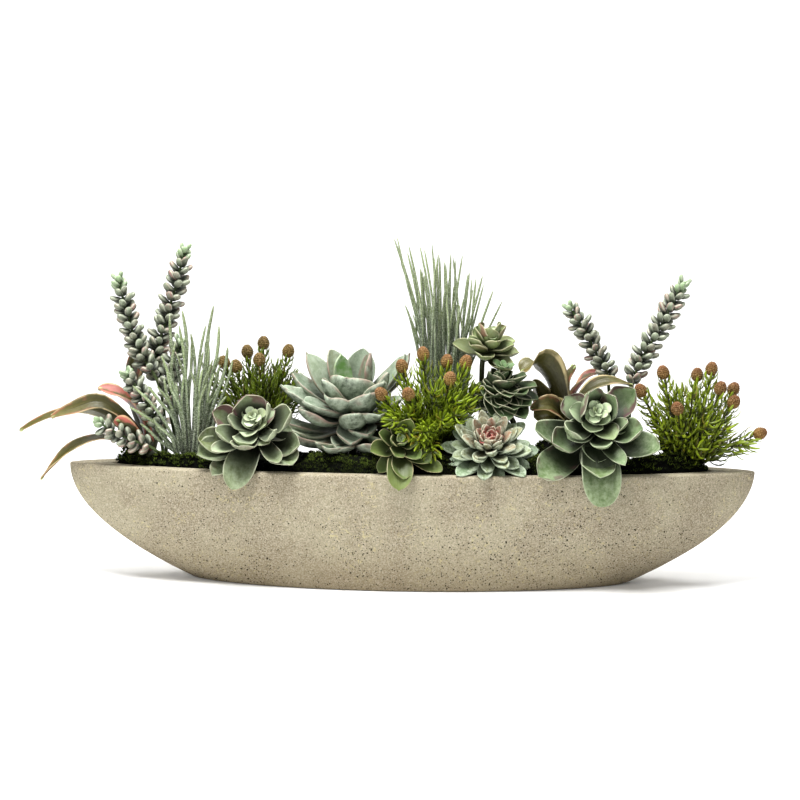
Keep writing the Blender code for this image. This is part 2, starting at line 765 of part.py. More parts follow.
def build_grass(name, material):
    clump = GRASSES[name]
    x, y, _ = PEGS[name]
    draw = random.Random(clump["seed"])
    tips = list(clump["tips"])
    middle, spread = clump["fan"]
    depth, deep = clump["depth"]
    low, high = clump["heights"]
    for i in range(clump["more"]):
        lean = (i + 0.5) / clump["more"] * 2 - 1
        top = high - (high - low) * (0.35 * lean ** 2 + 0.65 * draw.random())
        tips.append((middle + spread * lean, depth + deep * draw.uniform(-1, 1), top))
    shapes = [crowned_peg(name, GRASS_CROWN, 4)]
    siblings = []
    for i, tip in enumerate(tips):
        turn = math.atan2(tip[1] - y, tip[0] - x)
        ring = GRASS_CROWN * 0.8 * MM * ((i * 0.618 + 0.1) % 1) ** 0.5
        root = mm(x, y, crown_height(name) - 1) + Vector((math.cos(turn), math.sin(turn), 0)) * ring
        end = mm(*tip)
        side = Vector((math.cos(i * 1.7), math.sin(i * 1.7) - 1.6, 0))

        def one(step):
            swung = root + Matrix.Rotation(step * BEND / 3, 3, "X") @ (end - root)
            upright = Vector((root.x, root.y, swung.z))
            belly = root.lerp(swung, 0.5).lerp(root.lerp(upright, 0.5), 0.22)
            half = clump["width"] / 2 * MM
            return sliver(root, swung, belly, side, half, BLADE_KEEL * MM)
        found = settle(one, siblings)
        if found:
            siblings.append(tree_of([found]))
            shapes.append(found)
    fuse(name, shapes, material)


# Needle-leaved bushes

# Each bush: tips of the twigs that carry a cone, tips of the leafy ones, and whorls of needles on a twig
BUSHES = {
    "bush_left": {
        "cones": [(-271, 30, 266), (-254, 44, 276), (-236, 24, 272), (-224, 40, 291), (-203, 36, 303),
                  (-206, 14, 282), (-171, 34, 293)],
        "leafy": [(-158, 36, 268), (-256, 16, 240), (-187, 48, 282), (-226, 66, 262)],
        "whorls": 4,
    },
    "bush_centre": {
        "cones": [(13, -6, 294), (-13, -12, 278), (43, 2, 284), (66, -16, 285), (46, -28, 264),
                  (-37, -44, 246), (-4, -48, 246)],
        "leafy": [(84, -16, 256), (-30, -52, 226), (20, -66, 214), (58, -38, 246)],
        "whorls": 5,
    },
    "bush_right": {
        "cones": [(332, -6, 274), (303, -20, 252), (394, 2, 279), (378, 12, 270), (402, -14, 255),
                  (422, 4, 253), (418, -16, 238), (348, -26, 229), (452, -6, 200)],
        "leafy": [(368, -14, 258), (446, -12, 188), (318, -26, 228), (362, 34, 254)],
        "whorls": 5,
    },
}
TWIG_RADIUS = 1.5
NEEDLE_LENGTH = 24
NEEDLE_BASE = 3.0
NEEDLE_LIFT = math.radians(45)
BUSH_CROWN = 10
BUSH_HEART = 9
BUSH_STRETCH = 3  # the crown is broader along the boat
BUSH_SPREAD = 22
CONE_RADIUS = 8.0
CONE_HEIGHT = 19
CONE_SIDES = 5
CONE_SHAPE = ((0.0, 0.5), (0.4, 1.05), (0.8, 0.75), (1.0, 0.2))


def twig_line(name, tip, has_cone):
    """A twig's root, knee and end. A leafy twig arches more than one that carries a cone."""
    x, y, _ = PEGS[name]
    end = mm(*tip)
    spread = max(-BUSH_SPREAD, min(BUSH_SPREAD, 0.35 * (tip[0] - x)))
    root = mm(x + spread, y + 0.1 * (tip[1] - y), crown_height(name) + 0.5 * BUSH_HEART)
    knee = root.lerp(end, 0.45)
    knee.z += (end - root).length * (0.06 if has_cone else 0.16)
    return [root, knee, end]


def twig_rings(line, whorls, has_cone, number):
    """Rings of three at the root, either side of each whorl of needles, and at the end."""
    whole = length_of(line)
    last = 0.84 if has_cone else 0.96
    distances = [0]
    for k in range(whorls):
        middle = whole * (0.3 + (last - 0.3) * k / (whorls - 1))
        distances += [middle - NEEDLE_BASE / 2 * MM, middle + NEEDLE_BASE / 2 * MM]
    distances.append(whole)
    points = places_along(line, distances)
    frames = spread_frame(points, False)
    rings = []
    for i, point in enumerate(points):
        whorl = min(max(0, (i - 1) // 2), whorls - 1)
        turn = number + whorl * math.radians(60)
        rings.append(ring_round(point, frames[i], TWIG_RADIUS * MM, 3, turn))
    return points, frames, rings


def build_bush(name, material):
    """Twigs from a crown. Three needles stand on each short stretch of a twig."""
    bush = BUSHES[name]
    tips = [(tip, True) for tip in bush["cones"]] + [(tip, False) for tip in bush["leafy"]]
    twigs = []
    for number, (tip, has_cone) in enumerate(tips):
        twigs.append(twig_rings(twig_line(name, tip, has_cone), bush["whorls"], has_cone, number))
    cores = [tree_of([loft(rings)]) for _, _, rings in twigs]
    verts, faces = crowned_peg(name, BUSH_CROWN, BUSH_HEART)
    middle = PEGS[name][0] * MM
    broad = [Vector((middle + (v.x - middle) * (BUSH_STRETCH if i >= 2 * PEG_SIDES else 1), v.y, v.z))
             for i, v in enumerate(verts)]
    shapes = [(broad, faces)]
    grown = []
    for number, (points, frames, rings) in enumerate(twigs):
        siblings = cores[:number] + cores[number + 1:] + grown

        def leaf_on(level, side, corners):
            if level % 2 == 0 or level == len(rings) - 1:
                return None
            base = sum(corners, Vector()) / 4
            ahead = frames[level][0]
            away = base - points[level].lerp(points[level + 1], 0.5)
            away = (away - ahead * away.dot(ahead)).normalized()

            def needle(step):
                lift = NEEDLE_LIFT + step * BEND * 1.6
                out = away * math.cos(lift) + ahead * math.sin(lift)
                droop = Vector((0, 0, -0.12 * NEEDLE_LENGTH * MM))
                verts = list(corners) + [base + out * NEEDLE_LENGTH * MM + droop]
                return verts, [(3, 2, 1, 0), (0, 1, 4), (1, 2, 4), (2, 3, 4), (3, 0, 4)]
            found = settle(needle, siblings, strict=True)
            return found[0][4:] if found else None
        shapes.append(leafy_stem(rings, leaf_on))
        grown.append(tree_of(shapes[-1:]))
    fuse(name, shapes, material)


def build_cones(name, material):
    """A cone stands on the end of each of a bush's bearing stems, a hair's breadth above it."""
    for number, tip in enumerate(BUSHES[name]["cones"]):
        _, knee, end = twig_line(name, tip, True)
        ahead = (end - knee).normalized()
        foot = end + ahead * GAP
        u = ahead.orthogonal().normalized()
        v = ahead.cross(u)
        rings = []
        for height, size in CONE_SHAPE:
            centre = foot + ahead * (height * CONE_HEIGHT * MM)
            turns = [2 * math.pi * k / CONE_SIDES for k in range(CONE_SIDES)]
            around = [u * math.cos(a) + v * math.sin(a) for a in turns]
            rings.append([centre + out * (size * CONE_RADIUS * MM) for out in around])
        shape = loft(rings)
        standing.append(tree_of([shape]))
        add_object(f"{name}_cone_{number + 1}", shape, material)


def main():
    for obj in list(bpy.data.objects):
        bpy.data.objects.remove(obj, do_unlink=True)
    stone = make_material("cast fibre cement", (0.42, 0.38, 0.30), 0.9)
    peat = make_material("filling", (0.03, 0.022, 0.015), 0.95)
    green_moss = make_material("moss", (0.035, 0.07, 0.012), 0.95)
    frosted = make_material("frosted leaf", (0.22, 0.33, 0.23), 0.6)
    blue_green = make_material("blue-green leaf", (0.20, 0.30, 0.26), 0.55)
    dark_leaf = make_material("dark leaf", (0.10, 0.16, 0.09), 0.55)
    mint = make_material("mint leaf with a pink heart", (0.40, 0.52, 0.42), 0.6)
    strap = make_material("leathery strap leaf", (0.28, 0.22, 0.07), 0.45)
    grey_bean = make_material("grey-green bean leaf", (0.24, 0.27, 0.22), 0.6)
    flocked = make_material("flocked grass", (0.30, 0.37, 0.24), 0.9)
    needle = make_material("yellow-green needle", (0.14, 0.24, 0.02), 0.5)
    cone = make_material("brown cone", (0.33, 0.15, 0.05), 0.8)

    build_planter(stone)
    soil = build_soil(peat)
    moss = build_moss(green_moss)
    cut_holes([soil, moss])
    build_rosette("echeveria_left", frosted)
    build_rosette("echeveria_right", frosted)
    build_rosette("echeveria_hanging", frosted)
    build_rosette("echeveria_pink", mint)
    build_rosette("rosette_large", blue_green)
    build_rosette("rosette_upper", dark_leaf)
    build_rosette("rosette_dark", dark_leaf)
    build_strap("strap_left", strap)
    build_strap("strap_right", strap)
    for name in TAILS:
        build_tail(name, grey_bean)
    for name in BUSHES:
        build_cones(name, cone)
    for name in GRASSES:
        build_grass(name, flocked)
    for name in BUSHES:
        build_bush(name, needle)


main()
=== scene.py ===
# %% [markdown]
# # A boat planter of artificial succulents
#
# The real object is a long boat-shaped bowl of cast fibre cement, filled with moss. Artificial rosettes,
# bean-leaved stems, flocked grass and needle-leaved bushes stand in it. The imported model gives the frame:
# one closed solid for each plant. This lesson gives each of them finer leaves in the same places, and
# every surface the finish of its real material.

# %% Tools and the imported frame
import math
import random

import bpy
import numpy as np
from mathutils import Matrix, Vector, kdtree, noise
from mathutils.bvhtree import BVHTree


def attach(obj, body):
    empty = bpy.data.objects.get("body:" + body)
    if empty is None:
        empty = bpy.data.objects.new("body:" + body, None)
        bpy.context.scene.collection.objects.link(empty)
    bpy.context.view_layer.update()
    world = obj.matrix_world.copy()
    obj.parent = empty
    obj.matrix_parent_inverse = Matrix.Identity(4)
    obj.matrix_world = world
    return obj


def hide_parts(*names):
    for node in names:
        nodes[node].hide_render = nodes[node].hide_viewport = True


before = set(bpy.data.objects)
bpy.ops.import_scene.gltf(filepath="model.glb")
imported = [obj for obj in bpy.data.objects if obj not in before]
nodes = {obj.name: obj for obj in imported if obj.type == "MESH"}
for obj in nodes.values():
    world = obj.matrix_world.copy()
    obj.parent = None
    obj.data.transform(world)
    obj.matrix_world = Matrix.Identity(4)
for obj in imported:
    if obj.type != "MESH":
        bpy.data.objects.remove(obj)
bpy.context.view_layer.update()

# %% [markdown]
# ## Units and colours
#
# Lists of places are in millimetres, as a maker measures, and one function turns them to metres. Colours
# are written as the sRGB hex codes of a paint chart. Cycles mixes light in linear values, so one function
# turns each code once.

# %% Millimetres and paint codes
MM = 0.001


def mm(x, y, z):
    return Vector((x, y, z)) * MM


def paint(code):
    """An sRGB hex code as a linear colour with alpha."""
    shades = [int(code[i:i + 2], 16) / 255 for i in (1, 3, 5)]
    return (*[s / 12.92 if s <= 0.04045 else ((s + 0.055) / 1.055) ** 2.4 for s in shades], 1.0)


print("a mid grey is", round(paint("#808080")[0], 3), "in linear light")

# %% [markdown]
# ## Camera
#
# The object is seen from the front, a little above the rim, through a short telephoto lens. Its rim ends
# were lined up with the view, which gives the distance, the pitch, and a roll of under one degree.

# %% The camera
VIEW_PIXELS = 800
SENSOR = 36.0
FOCAL_PIXELS = 1511
SIDE_SHIFT_PIXELS = -13.2
CAMERA_PLACE = (0, -2.0, 0.42)
PITCH_DOWN = 5.1
ROLL = 0.81
camera_data = bpy.data.cameras.new("view")
camera_data.sensor_width = SENSOR
camera_data.lens = SENSOR * FOCAL_PIXELS / VIEW_PIXELS
camera_data.shift_x = SIDE_SHIFT_PIXELS / VIEW_PIXELS
camera = bpy.data.objects.new("view", camera_data)
bpy.context.scene.collection.objects.link(camera)
camera.matrix_world = (Matrix.Translation(CAMERA_PLACE)
                       @ Matrix.Rotation(math.radians(90 - PITCH_DOWN), 4, "X")
                       @ Matrix.Rotation(math.radians(ROLL), 4, "Z"))
bpy.context.scene.camera = camera
print("lens", round(camera_data.lens, 1), "mm")

# %% [markdown]
# ## Working with operators and nodes
#
# Modelling operators act on whatever is selected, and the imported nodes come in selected. So each piece
# begins with a clean selection. One small function adds a shader node with its settings and links, and
# gives back its result. The others do whole steps of a painter's work: they start a material, read what
# the points of a leaf carry, lay a tint over a colour, and finish with the colour and a fine relief.
#
# Sockets go by name or number. Map Range reads a value at 0, its bounds at 1 and 2, and what it makes of
# them at 3 and 4. A colour Mix takes its two colours at 6 and 7 and gives its result at 2.

# %% Small helpers


def begin():
    """Back to object mode with nothing selected."""
    if bpy.context.mode != "OBJECT":
        bpy.ops.object.mode_set(mode="OBJECT")
    bpy.ops.object.select_all(action="DESELECT")


def node(tree, kind, inputs=None, out=0, **settings):
    """Adds a shader node. An input is a value, or a socket to link from.

    It gives back the output that out names, or all of them where out is None.
    """
    made = tree.nodes.new("ShaderNode" + kind)
    for key, value in settings.items():
        setattr(made, key, value)
    for key, value in (inputs or {}).items():
        if isinstance(value, bpy.types.NodeSocket):
            tree.links.new(value, made.inputs[key])
        else:
            made.inputs[key].default_value = value
    return made.outputs if out is None else made.outputs[out]


def material(name, roughness, specular=0.35):
    """A material with its node tree and the piece's own coordinates."""
    made = bpy.data.materials.new(name)
    made.use_nodes = True
    tree = made.node_tree
    shader = tree.nodes["Principled BSDF"]
    shader.inputs["Roughness"].default_value = roughness
    shader.inputs["Specular IOR Level"].default_value = specular
    return made, tree, node(tree, "TexCoord", out="Object")


# %% A painter's steps
def tint(tree, under, over, measure, start=0.0, full=1.0, most=1.0, shares=(), smooth=False):
    """Lays one colour over another. A colour is a code or a socket.

    Its share grows to most while the measure goes from start to full, and is multiplied by other shares.
    """
    under, over = [paint(colour) if isinstance(colour, str) else colour for colour in (under, over)]
    share = node(tree, "MapRange", {0: measure, 1: start, 2: full, 3: 0.0, 4: most},
                 interpolation_type="SMOOTHSTEP" if smooth else "LINEAR")
    for other in shares:
        share = node(tree, "Math", {0: share, 1: other}, operation="MULTIPLY")
    return node(tree, "Mix", {"Factor": share, 6: under, 7: over}, out=2, data_type="RGBA")


def shaded(tree, colour, measure, start, full, least, most):
    """A colour made darker or lighter, from least to most of its value as the measure grows."""
    shade = node(tree, "MapRange", {0: measure, 1: start, 2: full, 3: least, 4: most})
    return node(tree, "HueSaturation", {"Value": shade, "Color": colour})


def leaf_numbers(tree):
    """What each point of a leaf carries: two vectors, each followed by its three numbers."""
    for name in ("leaf_place", "leaf_kind"):
        vector = node(tree, "Attribute", out="Vector", attribute_name=name)
        yield vector, *node(tree, "SeparateXYZ", {0: vector}, out=None)


def surface(skin, colour, relief, strength, depth):
    """Gives a material its finished colour, and a fine relief of that depth."""
    tree = skin.node_tree
    shader = tree.nodes["Principled BSDF"]
    tree.links.new(colour, shader.inputs["Base Color"])
    bump = node(tree, "Bump", {"Height": relief, "Strength": strength, "Distance": depth})
    tree.links.new(bump, shader.inputs["Normal"])
    print(skin.name + ":", len(tree.nodes), "nodes")


# %% [markdown]
# ## Stage and light
#
# A sweep of white paper: a floor that curves up behind the object, so no horizon shows. It is a plane
# whose back edge is extruded upwards, with a wide bevel in the corner. The light is soft and comes from
# above and in front, as in a light tent: large area lamps and a pale world.

# %% The paper sweep
PAPER_SIZE = (9, 7, 1)
PAPER_RISE = 4
PAPER_BEND = 1.2
BELOW_THE_FOOT = -0.2 * MM


def pick_edges(piece, wanted):
    """Selects the edges whose ends are both wanted, and goes on in edit mode."""
    bpy.ops.object.mode_set(mode="EDIT")
    bpy.ops.mesh.select_mode(type="EDGE")
    bpy.ops.mesh.select_all(action="DESELECT")
    bpy.ops.object.mode_set(mode="OBJECT")
    for edge in piece.data.edges:
        edge.select = all(wanted(piece.data.vertices[i].co) for i in edge.vertices)
    bpy.ops.object.mode_set(mode="EDIT")


begin()
bpy.ops.mesh.primitive_plane_add(size=1, location=(0, 0, BELOW_THE_FOOT))
sweep = bpy.context.active_object
sweep.name = "paper_sweep"
bpy.ops.object.mode_set(mode="EDIT")
bpy.ops.transform.resize(value=PAPER_SIZE)
pick_edges(sweep, lambda end: end.y > 1)
bpy.ops.mesh.extrude_region_move(TRANSFORM_OT_translate={"value": (0, 0, PAPER_RISE)})
pick_edges(sweep, lambda end: end.y > 1 and end.z < 0.1)
bpy.ops.mesh.bevel(offset=PAPER_BEND, segments=16)
bpy.ops.mesh.select_mode(type="VERT")
bpy.ops.object.mode_set(mode="OBJECT")
bpy.ops.object.transform_apply(location=True, rotation=True, scale=True)
sweep.data.shade_smooth()
print("paper:", len(sweep.data.polygons), "faces")

# %% The paper's material
# matt white paper: rough, with a very faint mottle
paper, tree, coords = material("matt white paper", 0.95, 0.1)
mottle = node(tree, "TexNoise", {"Vector": coords, "Scale": 6.0})
white = tint(tree, "#f4f4f3", "#fafaf9", mottle)
tree.links.new(white, tree.nodes["Principled BSDF"].inputs["Base Color"])
sweep.data.materials.append(paper)
print("the paper's material:", len(tree.nodes), "nodes")


# %% The lamps and the pale world
SKY_STRENGTH = 0.17


def soft_lamp(name, place, aim, width, watts):
    """A square area lamp at a place, turned to what it lights."""
    lamp = bpy.data.lights.new(name, "AREA")
    lamp.size = width
    lamp.energy = watts
    holder = bpy.data.objects.new(name, lamp)
    bpy.context.scene.collection.objects.link(holder)
    holder.location = place
    holder.rotation_euler = (Vector(aim) - Vector(place)).to_track_quat("-Z", "Y").to_euler()
    return holder


soft_lamp("overhead", (-0.3, -0.45, 1.8), (0, 0, 0.1), 0.7, 60)
soft_lamp("front_left", (-1.5, -2.3, 1.3), (0, 0, 0.15), 0.7, 26)
soft_lamp("front_right", (1.9, -2.2, 1.2), (0, 0, 0.15), 1.4, 13)
soft_lamp("on_the_paper", (0, 0.9, 2.4), (0, 2.6, 0.9), 2.4, 100)
world = bpy.data.worlds.new("light_tent")
world.use_nodes = True
sky = world.node_tree.nodes["Background"]
sky.inputs["Color"].default_value = (1, 1, 1, 1)
sky.inputs["Strength"].default_value = SKY_STRENGTH
bpy.context.scene.world = world
bpy.context.scene.view_settings.view_transform = "Standard"

# %% [markdown]
# ## The planter's form
#
# The bowl is one casting. Seen from above it is a boat with pointed ends; its sides swell in a parabola
# from a small flat base to the rim. Every level has the same plan at another size, so the piece is a
# circle pressed to the boat's plan, then extruded upwards and resized level by level, over the rim and
# down the inside.

# %% Sizes of the planter
LENGTH = 0.914
HEIGHT = 0.153
RIM_HALF_WIDTH = 0.098
BASE_HALF_LENGTH = 0.290
BASE_HALF_WIDTH = 0.080
WALL = 0.019
END_WALL = 0.057
FLOOR = 0.024
EDGE = 0.003
SIDE_GAP = 1 * MM
PLAN_POWER = 1.3
PLAN_SIDES = 168
WALL_LEVELS = 26
INSIDE_LEVELS = (HEIGHT - 2 * MM, 0.130, 0.1, 0.5 * HEIGHT, FLOOR)
HAND_WAVE = 0.7 * MM
SHARP_FROM = math.radians(50)


def hull_size(height):
    """Half-length and half-width of the outside at a height."""
    swell = 1 - (1 - height / HEIGHT) ** 2
    return (BASE_HALF_LENGTH + (LENGTH / 2 - BASE_HALF_LENGTH) * swell,
            BASE_HALF_WIDTH + (RIM_HALF_WIDTH - BASE_HALF_WIDTH) * swell)


def hollow_size(height):
    """Half-length and half-width of the inside: the walls at the ends thin towards the floor."""
    half_length, half_width = hull_size(height)
    drawn_in = END_WALL * (0.55 + 0.45 * height / HEIGHT)
    return half_length - drawn_in, half_width - WALL


print("outside at the rim:", [round(2 * size, 3) for size in hull_size(HEIGHT)])


# %% A boat from its levels
def boat_from(levels, name):
    """A closed form from a list of levels: height, half-length and half-width."""
    begin()
    bpy.ops.mesh.primitive_circle_add(vertices=PLAN_SIDES, radius=1, fill_type="NGON")
    form = bpy.context.active_object
    form.name = name
    for vertex in form.data.vertices:
        vertex.co.y = math.copysign(abs(vertex.co.y) ** PLAN_POWER, vertex.co.y)
    first, length, width = levels[0]
    bpy.ops.object.mode_set(mode="EDIT")
    bpy.ops.mesh.select_all(action="SELECT")
    bpy.ops.transform.resize(value=(length, width, 1))
    bpy.ops.transform.translate(value=(0, 0, first))
    for height, half_length, half_width in levels[1:]:
        bpy.ops.mesh.extrude_region_move(TRANSFORM_OT_translate={"value": (0, 0, height - first)})
        bpy.ops.transform.resize(value=(half_length / length, half_width / width, 1))
        first, length, width = height, half_length, half_width
    bpy.ops.mesh.select_all(action="SELECT")
    bpy.ops.mesh.normals_make_consistent(inside=False)
    bpy.ops.object.mode_set(mode="OBJECT")
    bpy.ops.object.transform_apply(location=True, rotation=True, scale=True)
    return form


print("points round each level:", PLAN_SIDES)


# %% The planter, level by level
def round_levels(height, turn_in, rising):
    """Four levels that round a 3 mm edge, at the foot or at the rim."""
    levels = []
    for degrees in (0, 30, 60, 90):
        angle = math.radians(degrees)
        if rising:
            z = height + EDGE * (1 - math.cos(angle))
            inset = EDGE * (1 - math.sin(angle))
        else:
            z = height - EDGE * (1 - math.sin(angle))
            inset = EDGE * (1 - math.cos(angle))
        size = turn_in(min(max(z, 0), HEIGHT))
        levels.append((z, size[0] - inset, size[1] - inset))
    return levels


levels = round_levels(0, hull_size, True)
for step in range(1, WALL_LEVELS):
    z = EDGE + (HEIGHT - 2 * EDGE) * step / WALL_LEVELS
    levels.append((z, *hull_size(z)))
levels += round_levels(HEIGHT, hull_size, False)
inner = hollow_size(HEIGHT)
# the inner edge of the rim is softened in two steps
for down, out in ((0, 2 * MM), (0.6 * MM, 0.6 * MM)):
    levels.append((HEIGHT - down, inner[0] + out, inner[1] + out))
levels += [(z, *hollow_size(z)) for z in INSIDE_LEVELS]
planter = boat_from(levels, "planter_cast")
for vertex in planter.data.vertices:
    # a cast wall smoothed by hand is never quite true
    x, y, z = vertex.co
    if 1 * MM < z < HEIGHT - 1 * MM:
        out = Vector((x / LENGTH, y / RIM_HALF_WIDTH, 0)).normalized()
        vertex.co += out * (HAND_WAVE * noise.noise(Vector((x * 14, y * 14, z * 22))))
planter.data.shade_smooth()
planter.data.set_sharp_from_angle(angle=SHARP_FROM)
top = max(vertex.co.z for vertex in planter.data.vertices)
print("planter:", len(planter.data.polygons), "faces, top", round(top, 3))

# %% [markdown]
# ## Cast fibre cement
#
# Fibre cement is sand, cement and short straw-coloured fibres, pressed in a mould. It dries to a warm
# matt grey-beige with soft clouds. Air bubbles at the mould's face leave pits of 1 to 3 mm, thick in
# some places and rare in others, and fibres leave cream flecks. The pits are the centres of Voronoi
# cells, sunk by a bump and painted near-black as painted shade inside them: a random value for each
# cell decides whether it has one.

# %% The cement's colour
cement, tree, coords = material("cast fibre cement", 0.92, 0.2)
clouds = node(tree, "TexNoise", {"Vector": coords, "Scale": 14.0, "Detail": 5.0, "Roughness": 0.6})
ground = tint(tree, "#7e745f", "#948d75", clouds, 0.35, 0.65, smooth=True)
# bright grains of sand, and dull ones between them
sand = node(tree, "TexNoise", {"Vector": coords, "Scale": 520.0, "Detail": 4.0, "Roughness": 0.8})
ground = tint(tree, ground, "#bab19e", sand, 0.44, 0.62, 0.85)
dull = node(tree, "TexNoise", {"Vector": coords, "Scale": 440.0, "Detail": 3.0, "Roughness": 0.8})
ground = tint(tree, ground, "#70674f", dull, 0.5, 0.64, 0.6)
# cream flecks of fibre, about 4 mm, in loose patches
fleck = node(tree, "TexNoise", {"Vector": coords, "Scale": 190.0, "Detail": 2.0, "Distortion": 1.2})
patch = node(tree, "TexNoise", {"Vector": coords, "Scale": 20.0, "Detail": 2.0})
patch_share = node(tree, "MapRange", {0: patch, 1: 0.42, 2: 0.62})
ground = tint(tree, ground, "#bdb286", fleck, 0.60, 0.68, 0.7, [patch_share], smooth=True)
# painted shade: the foot is a little darker, turned away from the light above
height = node(tree, "SeparateXYZ", {0: coords}, out="Z")
ground = tint(tree, ground, "#6b5c42", height, 0.07, 0.0, 0.55)
print("nodes in the cement's colour:", len(tree.nodes))

# %% The cement's pits
PIT_CELLS = ((9.0, 0.15), (4.8, 0.21), (3.0, 0.27))  # a cell in millimetres, and its largest pit as a share
FEWEST_PITS = 0.16
MOST_PITS = 0.6
RAGGED = 1.6 * MM
# the share of cells with a pit changes from place to place, and is higher near the foot
crowd = node(tree, "TexNoise", {"Vector": coords, "Scale": 9.0, "Detail": 2.0})
low = node(tree, "MapRange", {0: height, 1: 0.02, 2: 0.10, 3: 0.16, 4: 0.0})
crowd = node(tree, "Math", {0: crowd, 1: low}, operation="ADD")
pitted = node(tree, "MapRange", {0: crowd, 1: 0.34, 2: 0.64, 3: FEWEST_PITS, 4: MOST_PITS})
# the pits are ragged, not round
shift = node(tree, "TexNoise", {"Vector": coords, "Scale": 700.0, "Detail": 1.0}, out="Color")
ragged = node(tree, "VectorMath", {0: shift, 1: (RAGGED,) * 3, 2: coords}, operation="MULTIPLY_ADD")
depth = 0.0
for wide, radius in PIT_CELLS:
    cell = node(tree, "TexVoronoi", {"Vector": ragged, "Scale": 1 / (wide * MM), "Randomness": 1.0}, out=None)
    chance = node(tree, "SeparateXYZ", {0: cell["Color"]}, out="X")
    has_pit = node(tree, "Math", {0: chance, 1: pitted}, operation="LESS_THAN")
    size = node(tree, "Math", {0: chance, 1: radius, 2: radius * 0.55}, operation="MULTIPLY_ADD")
    hole = node(tree, "Math", {0: cell["Distance"], 1: size}, operation="DIVIDE")
    hole = node(tree, "MapRange", {0: hole, 1: 0.85, 2: 1.05, 3: 1.0, 4: 0.0})
    hole = node(tree, "Math", {0: hole, 1: has_pit}, operation="MULTIPLY")
    depth = node(tree, "Math", {0: hole, 1: depth}, operation="MAXIMUM")
# painted shade: each pit is painted near-black, the shade inside it
ground = tint(tree, ground, "#1c160e", depth, most=0.92)
print("sizes of pit:", len(PIT_CELLS))

# %% The cement on the planter
relief = node(tree, "Math", {0: depth, 1: -2.0, 2: sand}, operation="MULTIPLY_ADD")
surface(cement, ground, relief, 0.55, 0.6 * MM)
planter.data.materials.clear()
planter.data.materials.append(cement)
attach(planter, "root")
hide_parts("planter")

# %% [markdown]
# ## The filling
#
# Under the moss lies dark craft foam, cut level. Only the stems' holes would show it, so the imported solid
# stays, and gets a crumbly dark finish.

# %% The filling's material
foam, tree, coords = material("dark craft foam", 0.95, 0.1)
crumb = node(tree, "TexNoise", {"Vector": coords, "Scale": 300.0, "Detail": 4.0})
surface(foam, tint(tree, "#17120c", "#3a2f22", crumb), crumb, 0.5, 1 * MM)
nodes["soil_fill"].data.materials.clear()
nodes["soil_fill"].data.materials.append(foam)

# %% [markdown]
# ## The bed of moss
#
# Preserved moss is laid in handfuls: rounded cushions that stand above the rim in places and sink to dark
# hollows between. The bed is the same boat plan with its levels drawn in towards the middle, and the
# height of each point is the sum of a gentle crown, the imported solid's lumps and the handfuls.

# %% The moss bed's height
SOIL_TOP = 0.130
MOSS_EDGE = 0.150
MOSS_CROWN = 0.015
MOSS_LUMP = 0.0045
GAP = 0.3 * MM
# handfuls that show in front: x, y, width along the boat, width across, and height, in millimetres
HANDFULS = [
    (-386, -6, 26, 20, 28), (-336, -38, 30, 16, 24), (-290, -44, 24, 14, 18), (-250, -48, 22, 14, 12),
    (-122, -56, 20, 14, 19), (-92, -54, 16, 12, 13), (-62, -56, 20, 14, 18), (-34, -58, 18, 12, 13),
    (40, -54, 30, 16, 18), (165, -52, 26, 14, 18), (178, -14, 34, 24, 26), (296, -44, 30, 18, 22),
    (340, -32, 34, 22, 25), (380, -8, 34, 24, 24), (-200, 58, 60, 20, 10), (-40, 60, 60, 20, 10),
    (160, 56, 60, 20, 10), (30, -10, 30, 24, 12), (-205, 30, 30, 22, 10),
]
BED_RINGS = 22
RING_STEP = 0.1 * MM
CUSHIONS = 75  # noise per metre: cushions about 13 mm across


def moss_share(x, y):
    """How far a place lies from the middle of the moss towards its edge, from 0 to 1."""
    half_length, half_width = hollow_size(MOSS_EDGE)
    low = 0.001
    high = 1.0
    for _ in range(20):
        share = (low + high) / 2
        reach = (abs(y) / half_width / share) ** (2 / PLAN_POWER) + (x / half_length / share) ** 2
        if reach > 1:
            low = share
        else:
            high = share
    return high


def moss_top(x, y, share):
    """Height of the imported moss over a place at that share."""
    lump = math.sin(x * 61) * math.sin(y * 83 + x * 37) + 0.6 * math.sin(x * 139 + 1.3) * math.cos(y * 97)
    return MOSS_EDGE + MOSS_CROWN * (1 - share ** 2) + MOSS_LUMP * lump * (1 - share ** 4)


def handful_rise(x, y, share):
    """How far the handfuls lift the moss at a place; with a share they fall off steeply at the wall."""
    rise = 0.0
    for left, front, wide, deep, high in HANDFULS:
        rise += high * MM * math.exp(-((x / MM - left) / wide) ** 2 - ((y / MM - front) / deep) ** 2)
    return rise * min(1, (1 - share) * 22)


def moss_height(x, y, share):
    """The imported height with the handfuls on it, sunk a little along the wall."""
    fine = 3.2 * MM * noise.noise(Vector((x * CUSHIONS, y * CUSHIONS, 3))) * min(1, (1 - share) * 9)
    sunk = -3 * MM * max(0, (share - 0.86) / 0.14)
    return moss_top(x, y, share) + handful_rise(x, y, share) + fine + sunk


print("the middle of the moss stands at", round(moss_height(0, 0, moss_share(0, 0)), 3))


